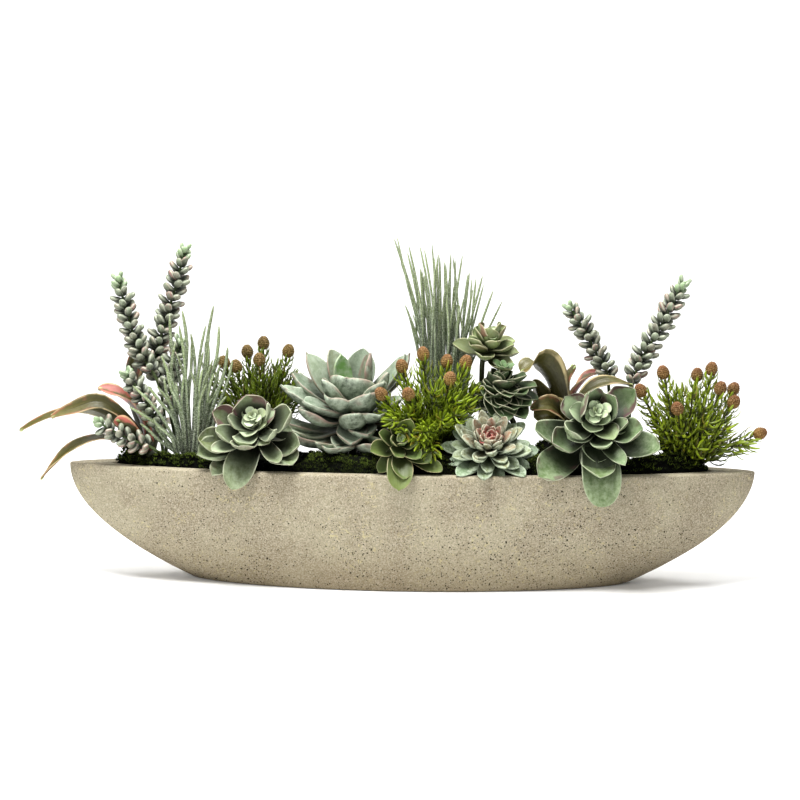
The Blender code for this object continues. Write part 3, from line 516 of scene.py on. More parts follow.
# %% The moss bed
inside_length, inside_width = hollow_size(MOSS_EDGE)
inside_length -= 3 * SIDE_GAP
inside_width -= SIDE_GAP
low_length, low_width = hollow_size(SOIL_TOP + GAP)
levels = [(SOIL_TOP + GAP, low_length - 3 * SIDE_GAP, low_width - SIDE_GAP),
          (MOSS_EDGE - 3 * MM, inside_length, inside_width)]
for ring in range(1, BED_RINGS):
    share = 1 - ring / BED_RINGS
    levels.append((MOSS_EDGE + ring * RING_STEP, inside_length * share, inside_width * share))
bed = boat_from(levels, "moss_bed")
for vertex in bed.data.vertices:
    # each ring's step in height tells its share, and then gives way to the moss's own height
    if vertex.co.z >= MOSS_EDGE:
        share = 1 - round((vertex.co.z - MOSS_EDGE) / RING_STEP) / BED_RINGS
        vertex.co.z = moss_height(vertex.co.x, vertex.co.y, share)
bed.data.shade_smooth()
print("moss bed:", len(bed.data.polygons), "faces")

# %% [markdown]
# ## A blank for leaves
#
# Nearly everything else here is a leaf: fleshy, flat, bean-shaped or thin as a needle. Each kind is
# pressed from one blank. The blank is a ball whose poles are the leaf's foot and tip, so it is closed and
# has an even skin. For each of its points it remembers three numbers: how far across the leaf it lies,
# how far along, and how much it faces up. A leaf is the blank laid along a spine with a width and a
# thickness at each place, and the same numbers later tell the material where the rim and the tip are.


# %% Leaf blanks
def leaf_blank(around, along):
    """Presses a ball to the numbers of a leaf blank."""
    begin()
    bpy.ops.mesh.primitive_uv_sphere_add(segments=around, ring_count=along, radius=1,
                                         rotation=(-math.pi / 2, 0, 0))
    bpy.ops.object.transform_apply(rotation=True)
    ball = bpy.context.active_object
    points = np.array([v.co for v in ball.data.vertices])
    faces = [tuple(face.vertices) for face in ball.data.polygons]
    bpy.data.objects.remove(ball)
    reach = np.clip(points[:, 1], -1, 1)
    girth = np.sqrt(1 - reach ** 2)
    girth[girth < 1e-3] = 1e9
    along = (1 + reach) / 2
    return {"across": points[:, 0] / girth, "up": points[:, 2] / girth, "along": along,
            "faces": faces, "free": [face for face in faces if min(along[i] for i in face) > 0.5],
            "count": len(points)}


FLESHY = leaf_blank(18, 28)
SMALL = leaf_blank(12, 10)
BEAN = leaf_blank(10, 9)
GRASS = leaf_blank(6, 10)
NEEDLE = leaf_blank(4, 6)
print("points in the blanks:", [blank["count"] for blank in (FLESHY, SMALL, BEAN, GRASS, NEEDLE)])


# %% Laying a blank along a spine
def swell(along, ends=0.0):
    """A hump over the leaf's length, highest half-way; ends keeps it above nothing at foot and tip."""
    return np.sin(math.pi * np.clip(along, ends, 1 - ends))


def unit(rows):
    return rows / np.maximum(np.linalg.norm(rows, axis=1, keepdims=True), 1e-12)


def lay(blank, spine, side, half_width, thickness, cup=0.0, power=1.7, wave=0.0, phase=0.0, roll=0.0,
        twist=0.0, above=0.5, blunt=1.0, crinkle=0.0):
    """The blank's points, laid along a spine. Width and thickness are functions of the share along it.

    side is the direction of the leaf's right edge. cup lifts the edges, wave ripples them, roll and twist
    turn the leaf about its spine, above is the share of the thickness that lies above the spine, a blunt
    below 1 rounds the rim, and crinkle puckers the face.
    """
    spine = np.array([tuple(p) for p in spine])
    along = blank["along"]
    grid = np.linspace(0, 1, len(spine))
    slope = np.gradient(spine, axis=0)
    centre = np.stack([np.interp(along, grid, spine[:, k]) for k in range(3)], 1)
    ahead = unit(np.stack([np.interp(along, grid, slope[:, k]) for k in range(3)], 1))
    edge = np.array(tuple(side))[None, :]
    right = unit(edge - ahead * np.sum(ahead * edge, 1, keepdims=True))
    upper = np.cross(ahead, right)
    if twist or roll:
        angle = (roll + twist * along)[:, None]
        right, upper = (right * np.cos(angle) + upper * np.sin(angle),
                        upper * np.cos(angle) - right * np.sin(angle))
    across = blank["across"]
    half = half_width(along)
    rise = cup * half * np.abs(across) ** power
    rise = rise + wave * half * np.abs(across) ** 2 * np.sin(along * 8 + phase + across * 1.8)
    up = np.sign(blank["up"]) * np.abs(blank["up"]) ** blunt
    rise = rise + up * thickness(along) * np.where(up > 0, above, 1 - above)
    if crinkle:
        rise = rise + crinkle * np.sin(across * 9 + phase) * np.sin(along * 17 + across * 3 + phase * 2)
    return centre + right * (across * half)[:, None] + upper * rise[:, None]


flat = lay(GRASS, [mm(0, y, 0) for y in (0, 50, 100)], (1, 0, 0), lambda along: 5 * MM * swell(along),
           lambda along: 1 * MM * swell(along))
print("a trial leaf measures", [round(float(size) / MM, 1) for size in np.ptp(flat, axis=0)], "mm")

# %% [markdown]
# A plant is sold and handled as one piece, so its leaves are gathered in a bunch before they become a mesh.
# The bunch also keeps two vectors for each point, which the materials read: the place on the leaf, and
# the leaf's own tone, age and flush.


# %% Gathering leaves in one piece
class Bunch:
    """Leaves gathered for one piece, with the numbers that their materials read."""

    def __init__(self):
        self.points, self.faces, self.places, self.kinds, self.skins = [], [], [], [], []
        self.count = 0

    def add(self, points, faces, places, tone=0.5, age=0.5, spare=0.0, skin=0):
        """Adds points with their faces, their places on the leaf, and three numbers for the whole leaf."""
        points = np.asarray(points, float)
        self.points.append(points)
        self.faces += [tuple(i + self.count for i in face) for face in faces]
        self.skins += [skin] * len(faces)
        self.places.append(places)
        self.kinds.append(np.tile((tone, age, spare), (len(points), 1)))
        self.count += len(points)

    def leaf(self, blank, points, **kind):
        """Adds a laid blank."""
        places = np.stack([blank["across"], blank["along"], blank["up"]], 1)
        self.add(points, blank["faces"], places, **kind)

    def piece(self, name, skins, slot, *replaced):
        """Turns the bunch to one mesh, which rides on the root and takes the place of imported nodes."""
        mesh = bpy.data.meshes.new(name)
        mesh.from_pydata(np.concatenate(self.points), [], self.faces)
        for label, rows in (("leaf_place", self.places), ("leaf_kind", self.kinds)):
            layer = mesh.attributes.new(label, "FLOAT_VECTOR", "POINT")
            layer.data.foreach_set("vector", np.concatenate(rows).astype(np.float32).ravel())
        for skin in skins:
            mesh.materials.append(skin)
        mesh.polygons.foreach_set("material_index", self.skins)
        mesh.shade_smooth()
        made = bpy.data.objects.new(name, mesh)
        bpy.context.scene.collection.objects.link(made)
        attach(made, "root")
        if replaced:
            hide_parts(*replaced)
        print(name, len(self.faces), "faces")
        return made


print("an empty bunch holds", Bunch().count, "points")

# %% [markdown]
# ## Moss tufts
#
# Close up, the moss is a mat of tiny branching shoots, 3 to 7 mm long. One tuft is a spray of thin
# pyramids. Thousands of copies of three such tufts stand on the bed, each turned, sized and leaned by a
# seeded draw. Two in five go to the steep fronts of the handfuls, which face the view and would else look
# bare, and none stand on the strip along the wall. They are joined with the bed in one piece. A tuft's
# colour carries painted light from its place: bright on a handful, and nearly black in the hollows
# between. The bed under the tufts and the foot of each shoot are painted near-black, as painted shade.

# %% The moss's material
moss_skin, tree, coords = material("preserved moss", 0.95, 0.1)
(_, own_light, along, _), (_, tone, _, _) = leaf_numbers(tree)
clump = node(tree, "TexNoise", {"Vector": coords, "Scale": 60.0, "Detail": 3.0})
# painted shade: the bed between the tufts is near-black, the shade in the hollows of the moss
ground = tint(tree, "#010100", "#050801", clump, 0.4, 0.65)
# painted light: a shoot's own share times its tuft's painted light, from near-black to moss green
lit = node(tree, "Math", {0: own_light, 1: tone}, operation="MULTIPLY")
shoot = tint(tree, "#030501", "#879f3c", lit)
# each shoot is painted darker towards its foot: painted shade
ground = tint(tree, ground, shoot, along, 0.2, 1.0, 0.85)
crumb = node(tree, "TexNoise", {"Vector": coords, "Scale": 500.0, "Detail": 3.0})
surface(moss_skin, ground, crumb, 0.8, 1.5 * MM)


# %% A tuft
def tuft_blank(shoots, draw):
    """A spray of thin three-sided pyramids, 1 unit high."""
    points = []
    faces = []
    rise = []
    for k in range(shoots):
        begin()
        turn = 2 * math.pi * k / shoots + draw.uniform(-0.3, 0.3)
        lean = 0.25 + 0.95 * draw.random()
        bpy.ops.mesh.primitive_cone_add(vertices=3, radius1=0.13, radius2=0, depth=0.9,
                                        end_fill_type="NOTHING", location=(0, 0, 0.45))
        shoot = bpy.context.active_object
        bpy.ops.object.transform_apply(location=True)
        shoot.data.transform(Matrix.Rotation(turn, 4, "Z") @ Matrix.Rotation(lean, 4, "Y"))
        base = len(points)
        points += [tuple(v.co) for v in shoot.data.vertices]
        faces += [tuple(base + i for i in face.vertices) for face in shoot.data.polygons]
        rise += [1.0 if Vector(v.co).length > 0.5 else 0.0 for v in shoot.data.vertices]
        bpy.data.objects.remove(shoot)
    return np.array(points), faces, np.array(rise)


TUFTS = 8600
SHOOTS = 7
TUFT_SIZE = (2.6, 5.6)
BARE_STRIP = 0.985
FRONT_FROM = 0.8
FULL_MOUND = 16 * MM
draw = random.Random(3)
tufts = [tuft_blank(SHOOTS, draw) for _ in range(3)]
print("points in a tuft:", len(tufts[0][0]))

# %% The mat of tufts
mat = Bunch()
bed_points = np.array([v.co for v in bed.data.vertices])
mat.add(bed_points, [tuple(face.vertices) for face in bed.data.polygons], np.zeros((len(bed_points), 3)))
bpy.data.objects.remove(bed)
placed = 0
while placed < TUFTS:
    x = draw.uniform(-1, 1) * inside_length
    y = draw.uniform(-1, 1) * inside_width
    share = moss_share(x, y)
    if share > BARE_STRIP or placed % 5 < 2 and (share < FRONT_FROM or y > 0):
        continue
    placed += 1
    form, faces, rise = tufts[placed % 3]
    mound = min(1, handful_rise(x, y, 0) / FULL_MOUND)
    size = draw.uniform(*TUFT_SIZE) * (1 + 0.3 * mound) * MM
    turn = (Matrix.Rotation(draw.uniform(0, 2 * math.pi), 3, "Z")
            @ Matrix.Rotation(draw.uniform(-0.5, 0.5), 3, "X"))
    foot = np.array((x, y, moss_height(x, y, share) - 0.8 * MM))
    places = np.zeros((len(form), 3))
    places[:, 1] = rise
    places[:, 0] = np.repeat([draw.random() ** 1.5 for _ in range(SHOOTS)], len(form) // SHOOTS)
    # painted light: a tuft on a cushion or a handful is painted bright, one in a hollow near-black
    clump = max(0, 0.5 + 0.9 * noise.noise(Vector((x * CUSHIONS, y * CUSHIONS, 3))))
    light = min(1, (clump + 0.5 * mound) * draw.uniform(0.3, 1.5)) * (0.1 + 0.9 * mound)
    mat.add(form @ np.array(turn).T * size + foot, faces, places, tone=light)
mat.piece("moss_mat", [moss_skin], "moss", "moss")

# %% [markdown]
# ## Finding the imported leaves
#
# Each plant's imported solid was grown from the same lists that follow, and a leaf that would have crossed
# a neighbour was bent away in steps of five degrees. The steps are not written down anywhere. But the
# tip of each packed leaf is a point of the solid, so the right step is the first one that brings the
# new leaf's tip onto such a point.

# %% Where each stem goes into the filling: x, y and radius in millimetres
PEGS = {
    "echeveria_left": (-205, -20, 4), "rosette_large": (-80, 8, 6), "echeveria_hanging": (-12, -52, 3.5),
    "rosette_upper": (92, 30, 3.5), "rosette_dark": (134, 8, 4), "echeveria_pink": (99, -34, 4),
    "echeveria_right": (232, -20, 4.5), "strap_left": (-351, 6, 6), "strap_right": (197, 14, 6),
    "donkey_tail_1": (-331, 17, 2.5), "donkey_tail_2": (-318, 30, 2.5), "donkey_tail_3": (-331, -8, 2.5),
    "donkey_tail_4": (-332, -25, 2.5), "donkey_tail_5": (-306, 12, 2.5), "donkey_tail_6": (266, 26, 2.5),
    "donkey_tail_7": (291, 26, 2.5), "grass_left": (-291, -16, 8), "grass_tall": (46, 44, 8),
    "bush_left": (-204, 32, 6), "bush_centre": (26, -4, 6), "bush_right": (368, 0, 6),
}
PEG_FOOT = 0.094
CROWN_RISE = 6
BEND = math.radians(5)
MOST_BENDS = 9
GOLDEN_ANGLE = math.radians(137.508)
SAME_PLACE = 0.05 * MM


def peg_points(name, top):
    x, y, _ = PEGS[name]
    return [Vector((x * MM, y * MM, PEG_FOOT)), Vector((x * MM, y * MM, top * MM))]


def crown_height(name):
    """Where a clump's crown is widest, in millimetres."""
    x, y, _ = PEGS[name]
    place = (x * MM, y * MM)
    return moss_top(*place, moss_share(*place)) / MM + CROWN_RISE


print("the crown of the tall grass:", round(crown_height("grass_tall"), 1), "mm up")


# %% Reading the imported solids
def packed_points(name):
    """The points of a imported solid, sorted so that the nearest one is found quickly."""
    vertices = nodes[name].data.vertices
    points = kdtree.KDTree(len(vertices))
    for i, vertex in enumerate(vertices):
        points.insert(vertex.co, i)
    points.balance()
    return points


def packed_step(points, tip_at):
    """The step at which tip_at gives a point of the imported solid, or None."""
    for attempt in range(MOST_BENDS):
        step = (attempt + 1) // 2 * (1 if attempt % 2 else -1)
        if points.find(tip_at(step))[2] < SAME_PLACE:
            return step
    return None


print("points in the largest packed plant:", max(len(nodes[name].data.vertices) for name in PEGS))


# %% Lines and curves
def smooth_route(points, count):
    """Points read evenly from a smooth curve through the given ones."""
    route = []
    last = len(points) - 1
    for i in range(count + 1):
        place = i / count * last
        k = min(int(place), last - 1)
        t = place - k
        before = points[max(k - 1, 0)]
        after = points[min(k + 2, last)]
        a = points[k]
        b = points[k + 1]
        route.append(0.5 * (2 * a + (b - before) * t + (2 * before - 5 * a + 4 * b - after) * t ** 2
                            + (3 * a - before - 3 * b + after) * t ** 3))
    return route


def places_along(points, distances):
    """Points at the given distances along a line."""
    places = []
    for distance in distances:
        for a, b in zip(points, points[1:]):
            stretch = (b - a).length
            if distance <= stretch or b is points[-1]:
                places.append(a.lerp(b, distance / stretch))
                break
            distance -= stretch
    return places


def length_of(points):
    return sum((b - a).length for a, b in zip(points, points[1:]))


corner = [mm(0, 0, 0), mm(0, 0, 50), mm(50, 0, 50)]
print("a corner of 100 mm, smoothed:", round(length_of(smooth_route(corner, 20)) / MM, 1), "mm")


# %% Stems
def spread_frame(points, in_hole):
    """The direction at each point of a line, and two axes across it that turn as little as they can."""
    across = Vector((1, 0, 0))
    heading = Vector((0, 0, 1))
    frames = []
    for i in range(len(points)):
        ahead = points[min(i + 1, len(points) - 1)] - points[max(i - 1, 0)]
        ahead.normalize()
        if i < 2 and in_hole:
            ahead = Vector((0, 0, 1))
        across.rotate(heading.rotation_difference(ahead))
        heading = ahead
        frames.append((ahead, across.copy(), ahead.cross(across)))
    return frames


def stem(bunch, points, radii, sides=10, skin=0, tone=0.5):
    """A round stem through the points, closed at both ends."""
    rings = []
    for point, (_, u, v), radius in zip(points, spread_frame(points, False), radii):
        rings += [tuple(point + (u * math.cos(a) + v * math.sin(a)) * radius)
                  for a in np.linspace(0, 2 * math.pi, sides, endpoint=False)]
    faces = [tuple(reversed(range(sides)))]
    for level in range(len(points) - 1):
        for i in range(sides):
            here = level * sides + i
            beside = level * sides + (i + 1) % sides
            faces.append((here, beside, beside + sides, here + sides))
    faces.append(tuple(range((len(points) - 1) * sides, len(points) * sides)))
    places = np.zeros((len(rings), 3))
    places[:, 1] = np.repeat(np.linspace(0, 1, len(points)), sides)
    bunch.add(rings, faces, places, tone=tone, age=0.0, skin=skin)


def clump_crown(bunch, name, levels, sides=12, skin=1):
    """A clump's stem from its hole up over its crown; a level is a height above the crown and a radius."""
    x, y, radius = PEGS[name]
    height = crown_height(name)
    levels = [(-40, radius), (-3, radius), *levels]
    stem(bunch, [mm(x, y, height + up) for up, _ in levels], [wide * MM for _, wide in levels], sides, skin)
    return x, y, height


print("pegs:", len(PEGS))

# %% [markdown]
# ## Leaf skins
#
# The rosettes are moulded in soft PVC or latex foam, sprayed with tints, and dusted with a pale powder
# like the bloom on a real leaf. What tells them apart is where the tints lie: along the rim and on the
# underside. Each skin also carries painted shade: a dark foot, where a leaf stands in the shade of its
# neighbours, and a darker underside, partly the underside's own duller tint and partly painted shade.
# One function builds such a skin from its colours, named as a maker mixes them. It reads the three
# numbers that each leaf point carries, and three for the whole leaf: its tone, its age from 0 at the
# heart to 1 outside, and how flushed it is.


# %% A sprayed and powdered leaf skin
def leaf_skin(name, heart, upper, outer, foot, blush, rim, under, powder, foot_shade_share=0.9, powder_share=0.4,
              blush_from=0.62, rim_from=0.92, rim_share=0.8, underside_and_shade_share=0.8, roughness=0.5, streaks=0.35,
              grain_mm=7.0, young_until=0.3, bare_heart=0.0, foot_shade_until=0.28, odd=None, young_rim=0.0):
    """heart, upper and outer colour the leaves from the youngest on; foot paints shade at each leaf's base.
    """
    made, tree, coords = material(name, roughness)
    (place, across, along, face), (kind, tone, age, flush) = leaf_numbers(tree)
    edge = node(tree, "Math", {0: across}, operation="ABSOLUTE")
    colour = tint(tree, heart, upper, age, 0.05, young_until)
    colour = tint(tree, colour, outer, age, 0.5, 1.0)
    # each leaf a little lighter or darker than the next, and some of an odd tint
    colour = shaded(tree, colour, tone, 0.0, 1.0, 0.78, 1.18)
    if odd:
        colour = tint(tree, colour, odd, tone, 0.76, 0.9, 0.7)
    # faint veins that run along the leaf
    lengthways = node(tree, "VectorMath", {0: place, 1: (6.0, 0.7, 0.0), 2: kind}, operation="MULTIPLY_ADD")
    vein = node(tree, "TexNoise", {"Vector": lengthways, "Scale": 1.7, "Detail": 4.0, "Distortion": 0.5})
    darker = node(tree, "HueSaturation", {"Value": 0.6, "Color": colour})
    colour = tint(tree, colour, darker, vein, 0.48, 0.70, streaks)
    # the underside: its own duller tint and painted shade, less on the youngest
    fresh = node(tree, "MapRange", {0: age, 1: 0.02, 2: 0.4, 3: 0.25, 4: 1.0})
    colour = tint(tree, colour, under, face, -0.05, -0.45, underside_and_shade_share, [fresh])
    # powder: pale clouds, thicker towards the rim
    size = 1 / (grain_mm * MM)
    grain = node(tree, "TexNoise", {"Vector": coords, "Scale": size, "Detail": 6.0, "Roughness": 0.7})
    outward = node(tree, "Math", {0: edge, 1: 0.14, 2: grain}, operation="MULTIPLY_ADD")
    cover = node(tree, "MapRange", {0: age, 1: 0.0, 2: 0.5, 3: 1 - bare_heart, 4: 1.0})
    colour = tint(tree, colour, powder, outward, 0.42, 0.76, powder_share, [cover])
    # painted shade: the foot, in the shade of its neighbours, is painted darker
    grown = node(tree, "MapRange", {0: age, 1: 0.02, 2: 0.35, 3: 0.35, 4: 1.0})
    colour = tint(tree, colour, foot, along, 0.98, foot_shade_until, foot_shade_share, [grown], smooth=True)
    # flush: a soft band inside the rim and over the tip, as strong as the leaf's own number says
    cloud = node(tree, "TexNoise", {"Vector": coords, "Scale": 60.0, "Detail": 4.0})
    loose = node(tree, "MapRange", {0: cloud, 1: 0.3, 2: 0.7, 3: -0.4, 4: 0.4})
    out = node(tree, "MapRange", {0: along, 1: 0.25, 2: 1.0, 3: -0.3, 4: 0.32})
    near = node(tree, "Math", {0: edge, 1: loose}, operation="ADD")
    near = node(tree, "Math", {0: near, 1: out}, operation="ADD")
    near = node(tree, "Math", {0: flush, 1: 0.7, 2: near}, operation="MULTIPLY_ADD")
    strength = node(tree, "MapRange", {0: flush, 1: 0.0, 2: 1.0, 3: 0.08, 4: 0.95})
    colour = tint(tree, colour, blush, near, blush_from + 0.4, blush_from + 0.85, shares=[strength],
                  smooth=True)
    # the rim itself, a line of about a millimetre, rubbed away in places
    start = node(tree, "MapRange", {0: age, 1: 0.0, 2: 0.4, 3: rim_from - young_rim, 4: rim_from})
    full = node(tree, "Math", {0: start, 1: 0.05}, operation="ADD")
    far = node(tree, "MapRange", {0: along, 1: 0.2, 2: 0.5})
    rubbed = node(tree, "MapRange", {0: cloud, 1: 0.38, 2: 0.56, 3: 0.25, 4: rim_share})
    colour = tint(tree, colour, rim, edge, start, full, 1.0, [far, rubbed])
    relief = node(tree, "Math", {0: vein, 1: 2.2, 2: grain}, operation="MULTIPLY_ADD")
    surface(made, colour, relief, 0.35, 0.7 * MM)
    return made


# a moulded stem has one colour, painted shade at its foot, and a little powder
stem_skin = leaf_skin(
    "rosette stem", "#3c4226", "#3c4226", "#3c4226", "#26280f", "#4a3a28", "#4a4a2a", "#26280f", "#62684a",
    powder_share=0.2)

# %% [markdown]
# ## Rosettes
#
# A rosette's leaves leave the stem in a spiral, one every 137.5 degrees, which keeps them from
# shading each other. The young ones at the heart are short and upright, the old ones long and low. The
# large outer leaves of some rosettes lie each its own way, so they are listed one by one: right, back and
# up from the heart to the tip, and a width. Two more lists fill what the imported solid leaves out: leaves
# that overlap between the outer ones and the spiral, and the tiny open leaves of the heart.

# %% The rosettes' numbers
# heart, axis: where a rosette's leaves meet and which way they open; neck, core: how long and how wide the
# stem is there. plump, cup, widest, tip: a leaf's form. inner: how many spiral leaves, their shortest and
# longest, their thinnest and widest, their steepest and flattest angle. bud: how many tiny leaves, shortest
# and longest. bud_rise: how high they sit. slim: a share of every width. flush: the least and the most.
ROSETTES = {
    "echeveria_left": {
        "bud_rise": 20, "spoon": 0.2, "heart": (-205, -50, 209), "axis": (-0.06, -0.78, 0.62),
        "neck": 26, "core": 14, "plump": 3.4, "cup": 0.46, "widest": 0.7, "tip": (2.3, 0.5),
        "inner": (15, 12, 48, 12, 31, 84, 6),
        "outer": [
            (-9, -23, 42, 40), (49, -32, 23, 38), (-53, -14, 19, 34), (-70, -25, -15, 34),
            (61, -42, -19, 32), (-71, -32, -34, 36), (53, -50, -43, 36), (-50, -46, -59, 30),
            (-23, -50, -76, 36, -0.08),
        ],
        "between": [
            (-44, -38, -8, 34), (-15, -60, -22, 32, 0.4), (-48, -46, -32, 26), (37, -54, -45, 26, 0.75),
            (15, -20, 33, 32, 0.6), (20, -30, 27, 16, 0.2), (30, -54, -4, 24, 0.3), (-16, -54, -14, 26, 0.25),
            (-40, -60, -46, 36), (-30, -28, 10, 26, 0.3),
        ],
        "bud": (10, 8, 20), "slim": 1.14, "fountain": 0.34, "flush": (0.3, 1.2),
    },
    "rosette_large": {
        "heart": (-78, 2, 244), "axis": (0.05, -0.30, 0.95), "neck": 52, "core": 24,
        "plump": 8.5, "cup": 0.46, "widest": 0.62, "tip": (2.3, 0.66), "inner": (5, 24, 44, 16, 34, 84, 62),
        "outer": [
            (10, 24, 64, 48), (-34, 26, 62, 44), (-40, -42, 26, 46), (-66, 22, 58, 46),
            (66, 8, 58, 42), (72, 34, 58, 42), (-84, 14, 30, 48), (40, -46, 26, 46),
            (-90, -22, 10, 48), (62, -34, 2, 46), (-20, 72, 20, 44), (-70, -48, -12, 48),
            (46, 64, 8, 42), (66, 4, -24, 44), (-60, 56, -10, 40), (-84, -30, -41, 46),
            (50, -42, -52, 46), (4, -64, -16, 46), (6, 66, -30, 40), (-18, -60, -63, 44),
        ],
        "between": [
            (-18, 0, 58, 34, 0.08), (20, -14, 60, 42), (-98, -6, 16, 40), (-30, -60, 4, 50),
            (20, -54, -44, 46), (44, -30, 36, 42), (-9, -44, 30, 74, 0.6), (22, -64, 12, 56),
            (36, -60, -18, 52), (-66, -44, -2, 50), (-2, -56, -56, 48), (-82, -62, -42, 34, 0.85, 1.15),
            (-34, -76, -60, 36, 0.8, 1.1), (34, -76, -56, 38, 0.9, 1.1), (-104, -22, -26, 36, 0.8, 1.0),
            (-46, -64, -54, 34, 0.8, 1.15), (72, -34, -40, 36, 0.8, 1.0),
        ],
        "bud": (3, 12, 18), "slim": 0.86, "crowded": True, "flush": (0.35, 0.5),
    },
    "echeveria_hanging": {
        "heart": (-15, -76, 195), "axis": (0.20, -0.80, 0.56), "neck": 22, "core": 9,
        "plump": 2.8, "cup": 0.48, "widest": 0.7, "tip": (2.3, 0.5), "inner": (9, 9, 33, 9, 22, 80, 30),
        "outer": [
            (37, -15, -25, 28), (4, -30, -48, 30), (-38, -21, -11, 26), (12, -6, 30, 24),
            (53, -13, -40, 22), (-3, -32, -64, 34, -0.10),
        ],
        "between": [
            (26, -24, -18, 24), (-20, -28, -20, 24), (6, -32, -26, 26), (-28, -14, 12, 20), (28, -10, 12, 20),
            (-26, -24, -34, 26), (18, -26, -34, 24),
        ],
        "bud": (8, 4, 11), "slim": 1.0, "flush": (0.15, 0.2),
    },
    "echeveria_pink": {
        "heart": (99, -68, 196), "axis": (0.0, -0.72, 0.69), "neck": 20, "core": 18,
        "plump": 6.0, "cup": 0.3, "widest": 0.64, "tip": (2.3, 0.52), "inner": (36, 13, 68, 9, 24, 84, -8),
        "outer": [], "between": [], "bud": (16, 7, 20), "slim": 0.95, "flush": (0.0, 0.3), "extra": 48,
        "extra_size": 0.86, "crinkle": 0.45,
    },
    "rosette_upper": {
        "heart": (100, 12, 322), "axis": (0.10, -0.42, 0.90), "neck": 24, "core": 11,
        "plump": 3.4, "cup": 0.6, "widest": 0.6, "tip": (2.3, 0.52), "inner": (16, 14, 50, 14, 32, 82, 4),
        "outer": [], "between": [
            (-14, -16, 24, 26), (14, -14, 24, 26), (0, -22, 16, 26), (-20, -6, 18, 24), (22, -4, 20, 24),
        ], "bud": (9, 8, 20), "slim": 0.96, "crowded": True, "flush": (0.2, 0.7), "extra": 5,
    },
    "rosette_dark": {
        "heart": (118, -8, 283), "axis": (0.16, -0.42, 0.89), "neck": 62, "core": 13,
        "plump": 3.2, "cup": 0.5, "widest": 0.6, "tip": (2.0, 0.6), "inner": (21, 14, 48, 14, 32, 80, -8),
        "outer": [], "between": [
            (-23, -20, -18, 34), (-12, -34, -30, 36), (8, -40, -32, 38), (28, -36, -28, 36),
            (44, -22, -18, 34), (-24, -22, -34, 36), (-8, -38, -46, 40), (14, -42, -48, 40),
            (36, -34, -42, 38), (46, -16, -36, 34), (-16, -30, -58, 38), (6, -40, -62, 40),
            (28, -38, -60, 38), (-16, -22, -4, 30), (30, -22, -4, 30), (6, -32, -12, 34),
        ], "bud": (7, 8, 18), "slim": 0.95, "crowded": True, "flush": (0.3, 0.4), "extra": 14,
    },
    "echeveria_right": {
        "bud_rise": 22, "spoon": 0.2, "heart": (235, -54, 222), "axis": (0.03, -0.82, 0.57),
        "neck": 34, "core": 16, "plump": 3.6, "cup": 0.46, "widest": 0.7, "tip": (2.3, 0.5),
        "inner": (17, 12, 56, 14, 38, 84, 4),
        "outer": [
            (-12, -34, 39, 44), (50, -6, 43, 42), (56, -42, -5, 36), (-58, -45, -23, 36),
            (-78, -28, -9, 38), (80, -33, -31, 40), (-76, -49, -67, 42), (2, -62, -65, 42),
            (8, -38, -106, 46, -0.20),
        ],
        "between": [
            (-32, -24, 28, 44), (22, -22, 30, 40), (-38, -48, -6, 30, 0.4), (40, -34, 8, 28, 0.4),
            (34, -54, -50, 32), (-18, -60, -42, 34), (10, -58, -22, 32, 0.4),
        ],
        "bud": (10, 8, 22), "slim": 1.1, "fountain": 0.34, "flush": (0.6, 0.9),
    },
}
# how a leaf may give way to its neighbours: a share of its width, and a nudge in millimetres
FITS = ((1, 0), (0.94, 0))
LOOSE_FITS = ((1, 0), (0.88, 0), (0.88, 5), (0.88, -5), (0.76, 9), (0.76, -9),
              (0.66, 0), (0.66, 5), (0.66, -5))
MOST_CROSSINGS = 3
NECK_SHARE = 0.34
LEAF_BOW = 0.10
SHOULDER = 6
SPIKE = 0.025
STEM_POINTS = 17
print("leaves placed by hand:", sum(len(p["outer"]) + len(p["between"]) for p in ROSETTES.values()))


# %% The form of a rosette's leaf
def outline(widest, tip, spike):
    """A leaf's half-width along its length as a share of its widest, with a short spike if one is given."""
    power, fall = tip

    def width(along):
        share = np.minimum(along / (1 - spike), 1)
        rising = NECK_SHARE + (1 - NECK_SHARE) * np.sin(math.pi / 2 * np.minimum(share / widest, 1))
        beyond = np.clip((share - widest) / (1 - widest), 0, 1)
        shape = np.where(share <= widest, rising, (1 - beyond ** power) ** fall)
        return np.maximum(shape, 0.07 * np.clip((1 - along) / SPIKE, 0, 1)) if spike else shape
    return width


def swung_leaf(root, tip, axis, step):
    """A leaf's reach and side after its swing towards or away from the rosette's axis."""
    reach = tip - root
    away = (reach - axis * reach.dot(axis)).normalized()
    side = away.cross(axis)
    return Matrix.Rotation(step * BEND, 3, side) @ reach, side


def bowed_spine(root, reach, side, bow, curl, spoon):
    """Points from a leaf's root to its tip: bowed, with a curl, and hollowed like a spoon."""
    upper = side.cross(reach).normalized()
    spine = []
    for share in np.linspace(0, 1, 20):
        sag = 4 * share * (1 - share) * (bow + curl * math.cos(math.pi * share))
        sag += spoon * (share ** 2 - share ** 5)
        spine.append(root + reach * share - upper * (sag * reach.length))
    return spine


def rosette_stem(bunch, name, heart, axis, neck, core):
    """Up from its hole, bent towards the heart, and wider where the leaves sit."""
    radius = PEGS[name][2] * MM
    foot = heart - axis * neck
    bend = foot - axis * SHOULDER * MM
    through = peg_points(name, bend.z / MM - 1.5 * SHOULDER) + [bend, foot, heart]
    radii = [radius + (0.62 * core - radius) * min(1, max(0, i - 8) / 4) for i in range(STEM_POINTS)]
    radii[-2:] = 0.4 * core, 0.2 * core
    stem(bunch, smooth_route(through, STEM_POINTS - 1), radii, 12, skin=1)


half_way = outline(0.62, (2.3, 0.66), 0)(np.array([0.5]))
print("half-way up, a leaf has", round(float(half_way[0]), 2), "of its width")

# %% [markdown]
# One leaf is grown at a time, from its root to its tip. Real leaves give way to each other as they open.
# So a leaf that would cut through one already there is tried again, slimmer or turned a little, and an
# added leaf that still cuts through is left out. The growth spiral, the leaves between and the tiny ones
# at the heart all use the same steps.


